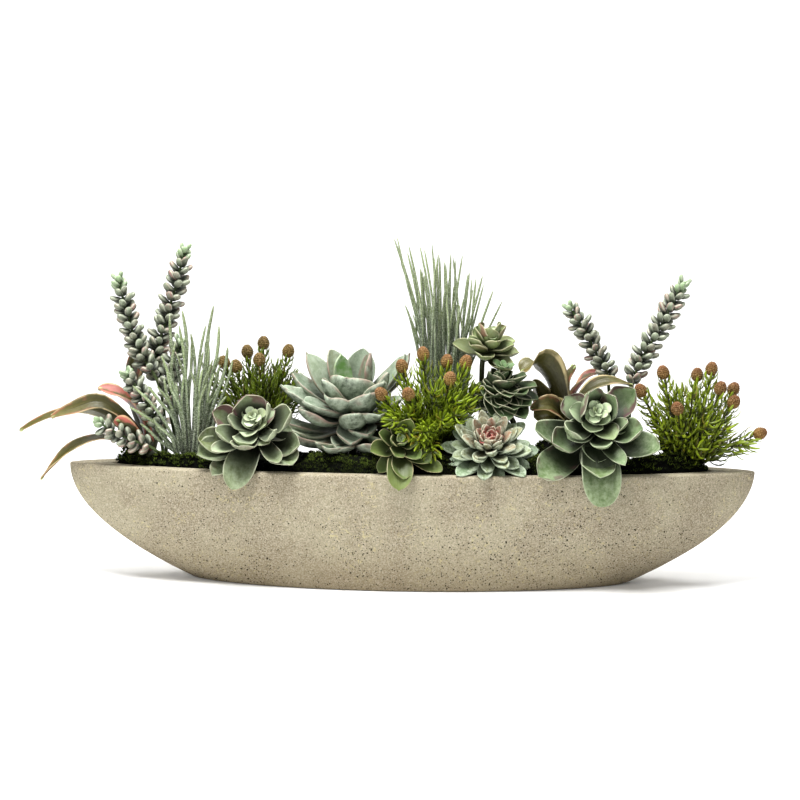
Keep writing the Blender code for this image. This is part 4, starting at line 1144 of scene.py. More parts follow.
# %% Growing a rosette
def rosette(name, skin, slot, seed):
    """A rosette on its stem, from its numbers."""
    plant = ROSETTES[name]
    draw = random.Random(seed)
    packed = packed_points(name)
    heart = mm(*plant["heart"])
    axis = Vector(plant["axis"]).normalized()
    neck = plant["neck"] * MM
    bunch = Bunch()
    rosette_stem(bunch, name, heart, axis, neck, plant["core"] * MM)
    u = axis.orthogonal().normalized()
    v = axis.cross(u)
    missed = []
    left_out = []
    least, most = plant["flush"]

    laid = []

    def grow(root, tip, width, age, bow=LEAF_BOW, find=True, blank=FLESHY, tries=FITS, most_met=None):
        """One leaf with its own small roll, wave and curl; the higher it points, the more it flushes.

        Each of the tries is a share of the width and a nudge of the tip along the axis, in millimetres. The
        first one that doesn't cut through a leaf already there is taken, or else the one that cuts the least.
        """
        step = packed_step(packed, lambda s: root + swung_leaf(root, tip, axis, s)[0]) if find else 0
        if step is None:
            missed.append(tip)
        curl = draw.uniform(-0.05, 0.05)
        slope = (tip - root).normalized().z
        spoon = plant.get("spoon", 0) * min(1, 2 * age) * min(1, max(0, 1 + 2.5 * slope))
        plump = plant["plump"] * MM * min(1, 0.35 + (tip - root).length / 45 / MM)
        shape = outline(plant["widest"] + draw.uniform(-0.03, 0.03), plant["tip"], draw.choice((0, SPIKE)))
        blush = draw.uniform(0.2, 1.4)
        bends = {"cup": plant["cup"] * draw.uniform(0.75, 1.25) * min(1, 0.55 + age),
                 "wave": draw.uniform(0.03, 0.14), "phase": draw.uniform(0, 6.28),
                 "roll": draw.uniform(-0.12, 0.12), "twist": draw.uniform(-0.15, 0.15)}
        tone = draw.random()
        best = None
        for narrow, nudge in tries:
            reach, side = swung_leaf(root, tip + axis * nudge * MM, axis, step or 0)
            spine = bowed_spine(root, reach, side, bow, curl, spoon)
            half = narrow * width * plant["slim"] / 2
            points = lay(blank, spine, -side, lambda along: half * shape(along),
                         lambda along: plump * (0.3 + 0.7 * swell(along, 0.02) ** 0.6),
                         power=2.0, above=0.3, blunt=0.7, crinkle=plant.get("crinkle", 0.12) * MM, **bends)
            field = BVHTree.FromPolygons(points.tolist(), blank["free"])
            met = sum(len(field.overlap(other)) for other in laid)
            if best is None or met < best[0]:
                best = (met, points, field, reach.normalized().z)
            if not met:
                break
        if most_met is not None and best[0] > most_met:
            left_out.append(tuple(round(c / MM) for c in tip - heart))
            return
        laid.append(best[2])
        flush = (least + (most - least) * max(0, best[3])) * blush * min(1, 2.5 * age)
        bunch.leaf(blank, best[1], tone=tone, age=age, spare=min(1, max(0, flush)))

    outer = plant["outer"]
    for i, leaf in enumerate(outer):
        root = heart - axis * neck * (0.3 + 0.65 * (i + 1) / len(outer))
        grow(root, heart + mm(*leaf[:3]), leaf[3] * MM, 0.55 + 0.45 * (i + 1) / len(outer),
             leaf[4] if len(leaf) == 5 else LEAF_BOW)
    count, short, long, thin, wide, steep, flat = plant["inner"]
    oldest = 0.5 if outer else 1.0

    def spiral(share, turn, size=1.0):
        lift = math.radians(steep + (flat - steep) * share)
        away = u * math.cos(turn) + v * math.sin(turn)
        root = heart - axis * neck * (0.15 + share * (0.2 if outer else 0.8))
        reach = (away * math.cos(lift) + axis * math.sin(lift)) * (short + (long - short) * share ** 0.8) * MM
        return root, root + reach * size, (thin + (wide - thin) * share) * MM, 0.06 + (oldest - 0.06) * share

    for i in range(count):
        bow = LEAF_BOW - plant.get("fountain", 0) * (1 - i / count)
        grow(*spiral(i / (count - 1), i * GOLDEN_ANGLE), bow=bow)
    extra = plant.get("extra", 0)
    size = plant.get("extra_size", 0.92)
    for i in range(extra):
        grow(*spiral((i + 0.5) / extra, (i + 0.5) * GOLDEN_ANGLE + 0.9, size), find=False)
    for i, leaf in enumerate(plant["between"]):
        low = leaf[5] if len(leaf) == 6 else 0.25 + 0.3 * draw.random()
        age = leaf[4] if len(leaf) > 4 else 0.35 + 0.3 * draw.random()
        crowded = plant.get("crowded", False)
        grow(heart - axis * neck * low, heart + mm(*leaf[:3]), leaf[3] * MM, age, find=False,
             tries=FITS[:1] if crowded else LOOSE_FITS, most_met=None if crowded else MOST_CROSSINGS)
    buds, first, last = plant["bud"]
    for i in range(buds):
        share = i / max(1, buds - 1)
        lift = math.radians(62 - 40 * share)
        away = u * math.cos(i * GOLDEN_ANGLE) + v * math.sin(i * GOLDEN_ANGLE)
        root = heart + axis * (plant.get("bud_rise", 3) * (1 - 0.2 * share)) * MM
        length = (first + (last - first) * share) * MM
        reach = (away * math.cos(lift) + axis * math.sin(lift)) * length
        wide = 0.68 * length / plant["slim"]
        grow(root, root + reach, wide, 0.08 * share, bow=0.02, find=False, tries=FITS[:1])
    print(name, "leaves whose packed tip lies inside another:", len(missed), "left out:", left_out)
    return bunch.piece(name + "_leaves", [skin, stem_skin], slot, name)


# %% [markdown]
# ### The skins of the seven rosettes
#
# The left and right echeverias are grey-green with a mauve flush and a pale rim, the right one greener.
# The large rosette is blue-grey-green under a whitish bloom with a dull red rim. The pink-hearted one is
# frosty mint. The two behind are dark green and olive.

# %% Skins
# in each skin the fourth colour is painted shade at a leaf's foot, and the seventh an underside that is
# partly painted shade
echeveria_left_skin = leaf_skin(
    "powdered latex leaf with a mauve flush", "#d2e2bc", "#88966c", "#6c7852", "#13160a", "#6c4a4c",
    "#c6cdac", "#5f574a", "#b2bf9f", powder_share=0.7, young_until=0.7, rim_from=0.925, rim_share=0.75,
    foot_shade_share=0.96, foot_shade_until=0.46, odd="#6a7232", blush_from=0.58, young_rim=0.18)
echeveria_right_skin = leaf_skin(
    "powdered latex leaf, greener", "#d2e6b8", "#7a9464", "#5f7446", "#101507", "#583c3e",
    "#c8d0b0", "#535a3e", "#aebd98", powder_share=0.66, young_until=0.7, rim_from=0.925, rim_share=0.75,
    foot_shade_share=0.96, foot_shade_until=0.46, odd="#6c7a3a", blush_from=0.85, young_rim=0.18)
hanging_skin = leaf_skin(
    "powdered latex leaf with a cream rim", "#9db382", "#5d7038", "#6c7a3c", "#20280c", "#a5745c", "#b9ae84",
    "#4b532f", "#869466", powder_share=0.3, blush_from=0.85, foot_shade_until=0.4)
large_skin = leaf_skin(
    "fleshy leaf with a whitish bloom", "#7fb558", "#8e9f86", "#7a8a72", "#2a3024", "#846c62", "#8a6258",
    "#424a3c", "#bcc8b2", foot_shade_share=0.8, powder_share=0.8, blush_from=0.82, rim_from=0.955, rim_share=0.7,
    underside_and_shade_share=0.9, grain_mm=9, odd="#8c8f70")
pink_skin = leaf_skin(
    "frosty mint leaf", "#a2343a", "#8d855c", "#6a855d", "#131a08", "#a8606a", "#bccab0", "#455832",
    "#c2cfb8", foot_shade_share=0.94, foot_shade_until=0.42, powder_share=0.75, blush_from=0.85, rim_share=0.6,
    grain_mm=4, young_until=0.75, bare_heart=1.0)
upper_skin = leaf_skin(
    "olive leaf with a mauve edge", "#b4d09c", "#92a66c", "#828a58", "#2a3014", "#7a5446", "#b8b592",
    "#6a7242", "#98a484", powder_share=0.4)
dark_skin = leaf_skin(
    "dark green leaf", "#6a8a58", "#465c38", "#384a2c", "#12180a", "#604a44", "#b0ae92", "#222a18",
    "#74825f", powder_share=0.4, rim_from=0.9, rim_share=0.95)

# %% The seven rosettes
for name, skin, slot, seed in (
        ("echeveria_left", echeveria_left_skin, "frosted_leaf", 21),
        ("echeveria_right", echeveria_right_skin, "frosted_leaf", 22),
        ("echeveria_hanging", hanging_skin, "frosted_leaf", 23),
        ("echeveria_pink", pink_skin, "mint_leaf", 24),
        ("rosette_large", large_skin, "blue_green_leaf", 25),
        ("rosette_upper", upper_skin, "dark_leaf", 26),
        ("rosette_dark", dark_skin, "dark_leaf", 27)):
    rosette(name, skin, slot, seed)

# %% [markdown]
# ## Strap leaves
#
# Long leathery leaves, olive and tan with salmon edges, that arch over and end in a pale, notched tip.
# Each follows a smooth curve through listed points. The same blank does for them, with more points
# along it, a deeper fold and wavy edges, and three small teeth close the tip.

# %% The strap leaves' numbers
# a leaf: the points it passes, its width, the side its right edge faces, the share of the width, its flush
STRAPS = {
    "strap_left": [
        ([(-384, 0, 198), (-430, -4, 222), (-480, -8, 215), (-522, -8, 194)],
         23, (0.1, -0.7, -0.7), 0.62, 0.45),
        ([(-370, -10, 200), (-412, -20, 234), (-448, -24, 226), (-477, -26, 216)],
         24, (0.1, -0.7, -0.7), 0.8, 0.5),
        ([(-366, 14, 212), (-392, 20, 238), (-424, 22, 250)], 30, (0.1, -0.7, -0.5), 0.9, 1.0),
        ([(-384, 30, 225), (-390, 36, 268), (-378, 44, 300), (-358, 52, 292), (-351, 52, 266)],
         30, (0.8, -0.8, 0), 1.05, 0.6),
        ([(-364, -20, 186), (-378, -36, 206), (-392, -46, 214)], 38, (0.9, -0.2, 0.45), 0.5, 1.0),
        ([(-386, -8, 180), (-414, -20, 187), (-445, -30, 176), (-468, -36, 155), (-487, -38, 133)],
         23, (0.1, -0.7, -0.6), 0.6, 0.4),
        ([(-352, 34, 196), (-344, 62, 206), (-340, 90, 196)], 26, (1, 0.1, 0), 0.8, 0.3),
    ],
    "strap_right": [
        ([(193, 6, 232), (182, 2, 274), (162, -2, 292), (141, -4, 282)], 38, (0.85, -0.6, 0.1), 1.15, 0.1),
        ([(199, 22, 240), (203, 26, 270), (217, 28, 290)], 28, (0.8, -0.6, 0), 0.6, 0.6),
        ([(196, -2, 216), (180, -14, 238), (154, -20, 233)], 28, (0.2, -0.7, -0.6), 0.85, 0.5),
        ([(210, 6, 222), (234, 0, 258), (262, -2, 269), (293, 2, 264)], 30, (0.1, 0.8, 0.6), 0.65, 0.2),
        ([(212, 34, 236), (236, 44, 272), (264, 48, 278)], 28, (0.1, 1, 0.4), 0.65, 1.0),
        ([(200, 46, 206), (206, 76, 226), (214, 104, 222)], 26, (-1, 0.1, 0), 0.8, 0.3),
        ([(193, 4, 206), (180, -2, 226), (160, -6, 222)], 36, (0.2, -0.5, -0.8), 0.9, 0.1),
        ([(200, 8, 200), (196, 0, 226), (186, -4, 246)], 34, (0.9, -0.4, 0), 0.8, 0.1),
        ([(186, 14, 212), (172, 16, 242), (161, 18, 270)], 38, (0.85, -0.6, 0.1), 0.95, 0.1),
    ],
}
STRAP_CROWN = 11
STRAP = leaf_blank(16, 34)


def strap_width(along):
    """A strap leaf keeps its width for most of its length and ends in a short point."""
    rise = 0.55 + 0.45 * np.sin(math.pi / 2 * np.minimum(1, along / 0.4))
    return rise * (1 - np.clip((along - 0.55) / 0.45, 0, 1) ** 2.2) ** 0.6


print("strap leaves:", {name: len(leaves) for name, leaves in STRAPS.items()})

# %% The strap leaves' skins
# latex leaf sprayed olive down the middle and salmon along the edges; the teeth of its tip are paler
# in both skins the fourth colour is painted shade at the foot, and the seventh an underside that is partly
# painted shade
strap_skin = leaf_skin(
    "leathery strap leaf", "#6c642c", "#5e5824", "#48461a", "#1c1b06", "#a85c50", "#b8a87c", "#34320a",
    "#807c48", foot_shade_share=0.9, powder_share=0.35, blush_from=0.6, rim_from=0.82, roughness=0.42, streaks=0.95,
    underside_and_shade_share=0.7)
tooth_skin = leaf_skin(
    "pale strap tip", "#a9b97a", "#a9b97a", "#a9b97a", "#7f9448", "#c9a890", "#d9d5b8", "#8fa35c",
    "#d5dbb8", powder_share=0.4)


# %% Growing a strap-leaf plant
def strap_plant(name, seed):
    draw = random.Random(seed)
    packed = packed_points(name)
    bunch = Bunch()
    x, y, height = clump_crown(bunch, name, [(0, STRAP_CROWN * 0.9), (5, 9), (9, 5)])
    for points, width, side, shown, flush in STRAPS[name]:
        outward = Vector((points[0][0] - x, points[0][1] - y, 0)).normalized()
        base = mm(x, y, height + 4) + outward * (0.3 * STRAP_CROWN * MM)

        def through(step):
            swing = Matrix.Rotation(step * BEND / 2, 3, "Z")
            return [base] + [base + swing @ (mm(*p) - base) for p in points]
        step = packed_step(packed, lambda s: through(s)[-1]) or 0
        spine = smooth_route(through(step), 34)
        laid = lay(STRAP, spine, side, lambda along: 0.5 * shown * width * MM * strap_width(along),
                   lambda along: 2.6 * MM * swell(along, 0.03) ** 0.35,
                   cup=0.5, power=1.3, wave=0.42, phase=draw.uniform(0, 6), above=0.3, blunt=0.7,
                   twist=draw.uniform(-0.4, 0.4), crinkle=0.25 * MM)
        bunch.leaf(STRAP, laid, tone=draw.random(), age=0.3 + 0.4 * draw.random(), spare=flush)
        ahead = (spine[-1] - spine[-3]).normalized()
        for turn in (-0.5, 0, 0.5):
            # the notched tip: three small teeth that spread
            edge = Vector(side).normalized()
            heading = (ahead * math.cos(turn) + edge * math.sin(turn)).normalized()
            root = spine[-1] - ahead * 8 * MM
            tooth = [root + heading * (8 * MM) * s for s in np.linspace(0, 1, 5)]
            laid = lay(SMALL, tooth, edge, lambda along: 2.2 * MM * np.sin(math.pi * along ** 0.8) ** 0.6,
                       lambda along: 1.2 * MM * swell(along) ** 0.5)
            bunch.leaf(SMALL, laid, tone=draw.random(), skin=2)
    return bunch.piece(name + "_leaves", [strap_skin, stem_skin, tooth_skin], "strap_leaf", name)


strap_plant("strap_left", 31)
strap_plant("strap_right", 32)

# %% [markdown]
# ## Bean-leaved stems
#
# Trailing sedum: a bare stem below, and above it dozens of blunt bean leaves, crowded and pointing
# outwards and up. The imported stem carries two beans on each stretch. Here two more stand between each
# pair, turned an eighth of the way round, so the stem is as full as the real one, and the beans shrink
# and turn fresh green towards the tip.

# %% The bean stems' numbers
# a stem: the points it passes, the share of it that is bare, and the length of a bean
TAILS = {
    "donkey_tail_1": ([(-338, 14, 249), (-365, 12, 299), (-382, 12, 350), (-394, 12, 396)], 0.44, 15),
    "donkey_tail_2": ([(-334, 32, 241), (-350, 33, 280), (-332, 34, 349), (-318, 36, 400), (-310, 38, 436)],
                      0.34, 16),
    "donkey_tail_3": ([(-338, -10, 205), (-353, -13, 235), (-377, -16, 272)], 0.28, 14),
    "donkey_tail_4": ([(-345, -32, 178), (-374, -40, 190), (-408, -44, 210)], 0.16, 14),
    "donkey_tail_5": ([(-318, 12, 220), (-326, 12, 262), (-312, 12, 314)], 0.40, 14),
    "donkey_tail_6": ([(262, 28, 270), (246, 30, 304), (226, 30, 340), (208, 30, 366)], 0.44, 15),
    "donkey_tail_7": ([(293, 28, 245), (302, 31, 288), (330, 33, 340), (360, 35, 400)], 0.38, 16),
}
STEM_SHARE = 0.85
BEAN_RADIUS = 4.7
BEAN_LIFT = math.radians(36)
BEAN_PITCH = 9.2
BARE_RINGS = 3
TAIL_FOOT = 168
TAIL_TWIST = math.radians(17)
YOUNG_FROM = 0.75
print("bean stems:", len(TAILS))

# %% The beans' skin
# vinyl beans, dusted grey, many flushed mauve; young ones at the tip are fresh green
# the fourth colour is painted shade at a bean's foot, and the seventh an underside that is partly painted
# shade
bean_skin = leaf_skin(
    "dusted vinyl bean", "#86a272", "#788269", "#777062", "#20251c", "#94706a", "#bcc2ac", "#3a4134",
    "#a6ae98", foot_shade_share=0.85, powder_share=0.7, blush_from=0.75, rim_share=0.7,
    underside_and_shade_share=0.7, streaks=0.15, grain_mm=4, rim_from=0.9)
# the stem's fourth colour is painted shade at its foot
bean_stem_skin = leaf_skin(
    "bean plant stem", "#45592f", "#45592f", "#5b3d1c", "#3a2f14", "#5b3a1c", "#45592f", "#2f3d20",
    "#6f7f58", powder_share=0.2)


# %% The form of a bean
def bean_shape(along):
    """A bean's girth along its length: blunt at both ends, a little slimmer at the foot."""
    return (1 - np.abs(2 * np.clip(along, 0, 1) ** 1.2 - 1) ** 2.6) ** 0.5


print("a bean's girth along it:", bean_shape(np.linspace(0, 1, 5)).round(2))


# %% Growing a bean stem
def bean_plant(name, seed):
    """A stem's points, and then its beans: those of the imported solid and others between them."""
    route, bare, bean_length = TAILS[name]
    draw = random.Random(seed)
    packed = packed_points(name)
    radius = PEGS[name][2] * STEM_SHARE * MM
    upright = peg_points(name, TAIL_FOOT)
    fine = smooth_route(upright[1:] + [mm(*p) for p in route], 60)
    whole = length_of(fine)
    first = bare * whole
    stretches = round((whole - first) / (BEAN_PITCH * MM))
    distances = [first * k / BARE_RINGS for k in range(BARE_RINGS)]
    distances += [first + (whole - first) * k / stretches for k in range(stretches + 1)]
    points = upright[:1] + places_along(fine, distances)
    frames = spread_frame(points, True)
    bunch = Bunch()
    line = [points[0]] + fine[::3]
    stem(bunch, line, [radius * (1.15 - 0.4 * i / len(line)) for i in range(len(line))], 8, skin=1)
    start = 1 + BARE_RINGS
    last = len(points) - 1

    def bean(place, ahead, away, lift, length, girth, age):
        out = (away * math.cos(lift) + ahead * math.sin(lift)).normalized()
        side = out.cross(ahead).normalized()
        upper = side.cross(out)
        bowed = [place + out * (length * share) - upper * (0.42 * length * share * (1 - share))
                 for share in np.linspace(0, 1, 8)]
        laid = lay(BEAN, bowed, side, lambda along: girth * bean_shape(along),
                   lambda along: 1.6 * girth * bean_shape(along))
        bunch.leaf(BEAN, laid, tone=draw.random(), age=age, spare=draw.random() ** 1.5 if age else 0)

    for level in range(start, last):
        ahead = frames[level][0]
        middle = points[level].lerp(points[level + 1], 0.5)
        young = max(0, ((level - start) / stretches - YOUNG_FROM) / (1 - YOUNG_FROM))
        length = bean_length * MM * (1 - 0.45 * young)
        girth = BEAN_RADIUS * MM * (1 - 0.35 * young)
        for side in range(4):
            corners = []
            for ring, steps in ((level, (0, 1)), (level + 1, (1, 0))):
                thinner = max(0, ring - 1) / (len(points) - 2)
                turn = TAIL_TWIST * max(0, ring - 1 - BARE_RINGS)
                _, u, v = frames[ring]
                for k in steps:
                    a = turn + math.pi / 2 * (side + k)
                    out = u * math.cos(a) + v * math.sin(a)
                    corners.append(points[ring] + out * radius * (1 - 0.4 * thinner))
            base = sum(corners, Vector()) / 4
            away = base - middle
            away = (away - ahead * away.dot(ahead)).normalized()
            lift = BEAN_LIFT + math.radians(30) * young
            age = 0.0 if young > 0.45 else 0.35 + 0.65 * draw.random()
            if (level + side) % 2 == 0:
                def tip_at(step):
                    swung = lift + step * BEND * 1.5
                    return base + (away * math.cos(swung) + ahead * math.sin(swung)) * length
                step = packed_step(packed, tip_at)
                if step is not None:
                    bean(base, ahead, away, lift + step * BEND * 1.5, length * 1.1, girth * 1.08, age)
            else:
                eighth = Matrix.Rotation(-math.pi / 4, 3, ahead) @ away
                place = base + ahead * (0.5 * BEAN_PITCH * MM)
                lower = lift - draw.uniform(0.1, 0.4) * (1 - young)
                bean(place, ahead, eighth, lower, length * draw.uniform(1.1, 1.25),
                     girth * draw.uniform(0.95, 1.1), age)
    # a small bud of young beans closes the end
    ahead = frames[-1][0]
    u = frames[-1][1]
    for k in range(6):
        away = Matrix.Rotation(k * GOLDEN_ANGLE, 3, ahead) @ u
        bean(points[-1] - ahead * 3 * MM, ahead, away, math.radians(40 + 7 * k), 8 * MM, 3 * MM, 0)
    return bunch.piece(name + "_beans", [bean_skin, bean_stem_skin], "bean_leaf", name)


for number, name in enumerate(TAILS):
    bean_plant(name, 40 + number)

# %% [markdown]
# ## Flocked grass
#
# Plastic grass strands with a coat of fine fibres and white grains, which makes them look frosted. The
# strands bow outwards from a crown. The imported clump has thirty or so; the rest are drawn in the same fan.

# %% The grass clumps' numbers
# tips: where named strands end. more, fan, depth, heights: how many others, in what fan, and their heights
GRASSES = {
    "grass_left": {
        "tips": [
            (-264, -10, 364), (-304, -20, 357), (-323, -5, 350), (-255, -25, 338), (-244, -20, 310),
            (-306, -34, 338), (-276, 2, 337), (-266, -34, 326), (-294, -12, 327), (-330, -28, 298),
            (-347, -34, 258), (-367, -32, 258), (-370, -40, 231), (-239, -10, 292), (-244, -34, 246),
        ],
        "seed": 11, "more": 15, "fan": (-290, 42), "depth": (-14, 28), "heights": (232, 318),
        "leftmost": -1.8,
    },
    "grass_tall": {
        "tips": [
            (-29, 44, 456), (-25, 50, 458), (-9, 42, 447), (6, 52, 446), (12, 40, 442), (22, 48, 452),
            (33, 60, 433), (48, 44, 437), (64, 52, 435), (74, 60, 412), (92, 56, 408), (94, 66, 396),
            (107, 60, 388), (120, 62, 374), (-20, 56, 424), (-13, 44, 367), (-11, 60, 438),
        ],
        "seed": 5, "more": 16, "fan": (38, 50), "depth": (54, 26), "heights": (330, 425),
    },
}
GRASS_CROWN = 13
print("named strands:", {name: len(clump["tips"]) for name, clump in GRASSES.items()})

# %% The flock's material
# flock: short fibres on glue, so no shine at all; grains of white sit on it, and the tips are painted lighter
# and yellower as painted light
flock, tree, coords = material("white-flocked grass strand", 0.95, 0.1)
tree.nodes["Principled BSDF"].inputs["Sheen Weight"].default_value = 0.3
(_, across, along, _), (_, tone, _, _) = leaf_numbers(tree)
colour = tint(tree, "#2c3a20", "#76875a", tone)
# painted light: lighter and yellower towards the tip
colour = tint(tree, colour, "#8c9a5e", along, 0.45, 1.0, 0.55)
# painted shade: dark down in the clump, and along both edges of each round strand, where the white grains
# also thin out
colour = tint(tree, colour, "#252b1c", along, 0.5, 0.0, 0.95)
edge = node(tree, "Math", {0: across}, operation="ABSOLUTE")
colour = tint(tree, colour, "#2a3320", edge, 0.4, 0.9, 0.92)
grain = node(tree, "TexNoise", {"Vector": coords, "Scale": 760.0, "Detail": 4.0, "Roughness": 0.7})
bare = node(tree, "MapRange", {0: edge, 1: 0.6, 2: 1.0, 3: 1.0, 4: 0.25})
colour = tint(tree, colour, "#b6c0a6", grain, 0.47, 0.6, 0.75, [bare])
surface(flock, colour, grain, 0.45, 0.6 * MM)


# %% Growing a clump of grass
def blade_width(along):
    """A strand's width: a little slimmer at its foot, even, and then a blunt point."""
    return np.minimum(1, 0.75 + along) * (1 - np.clip((along - 0.74) / 0.26, 0, 1) ** 2.4) ** 0.55


def grass_clump(name, strand_width, more, seed, lightest_in_painted_shade=1.0):
    clump = GRASSES[name]
    packed = packed_points(name)
    draw = random.Random(clump["seed"])
    tips = list(clump["tips"])
    middle, spread = clump["fan"]
    depth, deep = clump["depth"]
    low, high = clump["heights"]
    for i in range(clump["more"]):
        lean = (i + 0.5) / clump["more"] * 2 - 1
        top = high - (high - low) * (0.35 * lean ** 2 + 0.65 * draw.random())
        tips.append((middle + spread * lean, depth + deep * draw.uniform(-1, 1), top))
    named = len(tips)
    draw = random.Random(seed)
    for i in range(more):
        lean = draw.uniform(clump.get("leftmost", -1), 1)
        top = high + 14 - (high - low) * (0.35 * lean ** 2 + 0.85 * draw.random())
        tips.append((middle + spread * 0.95 * lean, depth + deep * draw.uniform(-1, 1), top))
    bunch = Bunch()
    x, y, height = clump_crown(bunch, name, [(0, GRASS_CROWN * 0.9), (4, 8)], skin=0)
    for i, tip in enumerate(tips):
        turn = math.atan2(tip[1] - y, tip[0] - x)
        ring = GRASS_CROWN * (0.8 if i < named else 1.7) * MM * ((i * 0.618 + 0.1) % 1) ** 0.5
        root = mm(x, y, height - 1) + Vector((math.cos(turn), math.sin(turn), 0)) * ring
        end = mm(*tip)

        def swung(step):
            return root + Matrix.Rotation(step * BEND / 3, 3, "X") @ (end - root)
        step = packed_step(packed, swung)
        if step is None and i < named:
            continue
        top = swung(step or 0)
        upright = Vector((root.x, root.y, top.z))
        belly = root.lerp(top, 0.5).lerp(root.lerp(upright, 0.5), 0.22 + draw.uniform(-0.1, 0.1))
        belly += Vector((draw.uniform(-8, 8), draw.uniform(-8, 8), 0)) * MM
        waist = belly.lerp(top, 0.55) + Vector((draw.uniform(-5, 5), draw.uniform(-5, 5), 0)) * MM
        spine = smooth_route([root, belly, waist, top], 12)
        half = strand_width / 2 * MM * draw.uniform(0.85, 1.15)
        laid = lay(GRASS, spine, Vector((1, 0.2, 0)), lambda along: half * blade_width(along),
                   lambda along: 1.5 * half * (1 - 0.6 * along))
        # a top tone below 1 paints the whole clump darker: painted shade
        bunch.leaf(GRASS, laid, tone=draw.random() * lightest_in_painted_shade, age=draw.random(), spare=draw.random())
    return bunch.piece(name + "_strands", [flock], "flocked_grass", name)


grass_clump("grass_left", 4.6, 24, 51)
# the tall clump's strands are painted darker: painted shade
grass_clump("grass_tall", 3.5, 32, 52, 0.5)

# %% [markdown]
# ## Needle-leaved bushes
#
# Branching twigs with soft narrow leaves, like a small conebush. Each twig is wrapped in whorls of
# flat needles that lean outwards and curve up again, so a twig looks like a bottle brush. The packed
# twig carries a few of them; here the whorls stand five to six millimetres apart, and more fronds fill
# the bush down to the moss.

# %% The bushes' numbers
# the ends of the twigs: those with a cone, those with leaves alone, and the lower ones that fill the bush
BUSHES = {
    "bush_left": {
        "cones": [(-271, 30, 266), (-254, 44, 276), (-236, 24, 272), (-224, 40, 291), (-203, 36, 303),
                  (-206, 14, 282), (-171, 34, 293)],
        "leafy": [(-158, 36, 268), (-256, 16, 240), (-187, 48, 282), (-226, 66, 262)],
        "fronds": [(-262, 24, 242), (-244, 40, 256), (-228, 18, 250), (-214, 40, 268), (-192, 22, 266),
                   (-178, 44, 270), (-162, 18, 248), (-150, 32, 240), (-236, 60, 248), (-168, 60, 256),
                   (-200, 70, 250), (-250, 10, 222), (-176, 10, 232), (-210, 8, 250)],
    },
    "bush_centre": {
        "cones": [(13, -6, 294), (-13, -12, 278), (43, 2, 284), (66, -16, 285), (46, -28, 264),
                  (-37, -44, 246), (-4, -48, 246)],
        "leafy": [(84, -16, 256), (-30, -52, 226), (20, -66, 214), (58, -38, 246)],
        "fronds": [(-26, -78, 222), (-10, -82, 206), (8, -86, 196), (24, -86, 182), (12, -84, 208),
                   (-8, -64, 230), (38, -62, 222), (56, -52, 228), (74, -36, 238), (0, -30, 256),
                   (28, -34, 258), (60, 24, 250), (-4, 26, 244), (-34, -34, 234), (80, 0, 258)],
    },
    "bush_right": {
        "cones": [(332, -6, 274), (303, -20, 252), (394, 2, 279), (378, 12, 270), (402, -14, 255),
                  (422, 4, 253), (418, -16, 238), (348, -26, 229), (452, -6, 200)],
        "leafy": [(368, -14, 258), (446, -12, 188), (318, -26, 228), (362, 34, 254)],
        "fronds": [(322, -34, 214), (388, -34, 222), (414, -24, 212), (350, 8, 254), (384, -22, 240),
                   (338, 18, 244), (352, -34, 206), (330, -24, 192), (404, -20, 190), (374, -32, 186),
                   (348, 14, 200), (398, 16, 204)],
    },
}
TWIG_RADIUS = 1.5
BUSH_CROWN = 10
BUSH_HEART = 9
BUSH_SPREAD = 22
CONE_RADIUS = 8.0
CONE_HEIGHT = 19


def twig_line(name, tip, has_cone):
    """A twig's root, knee and end."""
    x, y, _ = PEGS[name]
    end = mm(*tip)
    spread = max(-BUSH_SPREAD, min(BUSH_SPREAD, 0.35 * (tip[0] - x)))
    root = mm(x + spread, y + 0.1 * (tip[1] - y), crown_height(name) + 0.5 * BUSH_HEART)
    knee = root.lerp(end, 0.45)
    knee.z += (end - root).length * (0.06 if has_cone else 0.16)
    return [root, knee, end]


print("twigs:", {name: sum(len(tips) for tips in bush.values()) for name, bush in BUSHES.items()})


# %% The needles' skin
def needle_skin(name, inside, fresh, dry):
    """Soft moulded plastic leaf: satin, deeper green at its foot, yellower at its tip; its near-black tone is
    painted shade.
    """
    made, tree, coords = material(name, 0.42, 0.45)
    (_, _, along, _), (_, tone, age, spare) = leaf_numbers(tree)
    # painted shade: each needle's tone runs from near-black, the shade deep in the bush, to fresh green
    colour = tint(tree, inside, fresh, tone)
    colour = tint(tree, colour, fresh, along, 0.2, 0.9, 0.7)
    colour = tint(tree, colour, dry, spare, 0.88, 1.0, 0.7)
    # painted shade low on a twig, where needles stand in the shade of the others, and painted light at its
    # end
    colour = shaded(tree, colour, age, 0.0, 0.8, 0.25, 1.25)
    grain = node(tree, "TexNoise", {"Vector": coords, "Scale": 400.0, "Detail": 2.0})
    surface(made, colour, grain, 0.2, 0.4 * MM)
    return made


# the twig's fourth colour is painted shade at its foot
twig_skin = leaf_skin(
    "bush twig", "#45441a", "#45441a", "#45441a", "#2a2a0e", "#523820", "#4f4b24", "#2c2f12", "#5e5e38",
    powder_share=0.15)


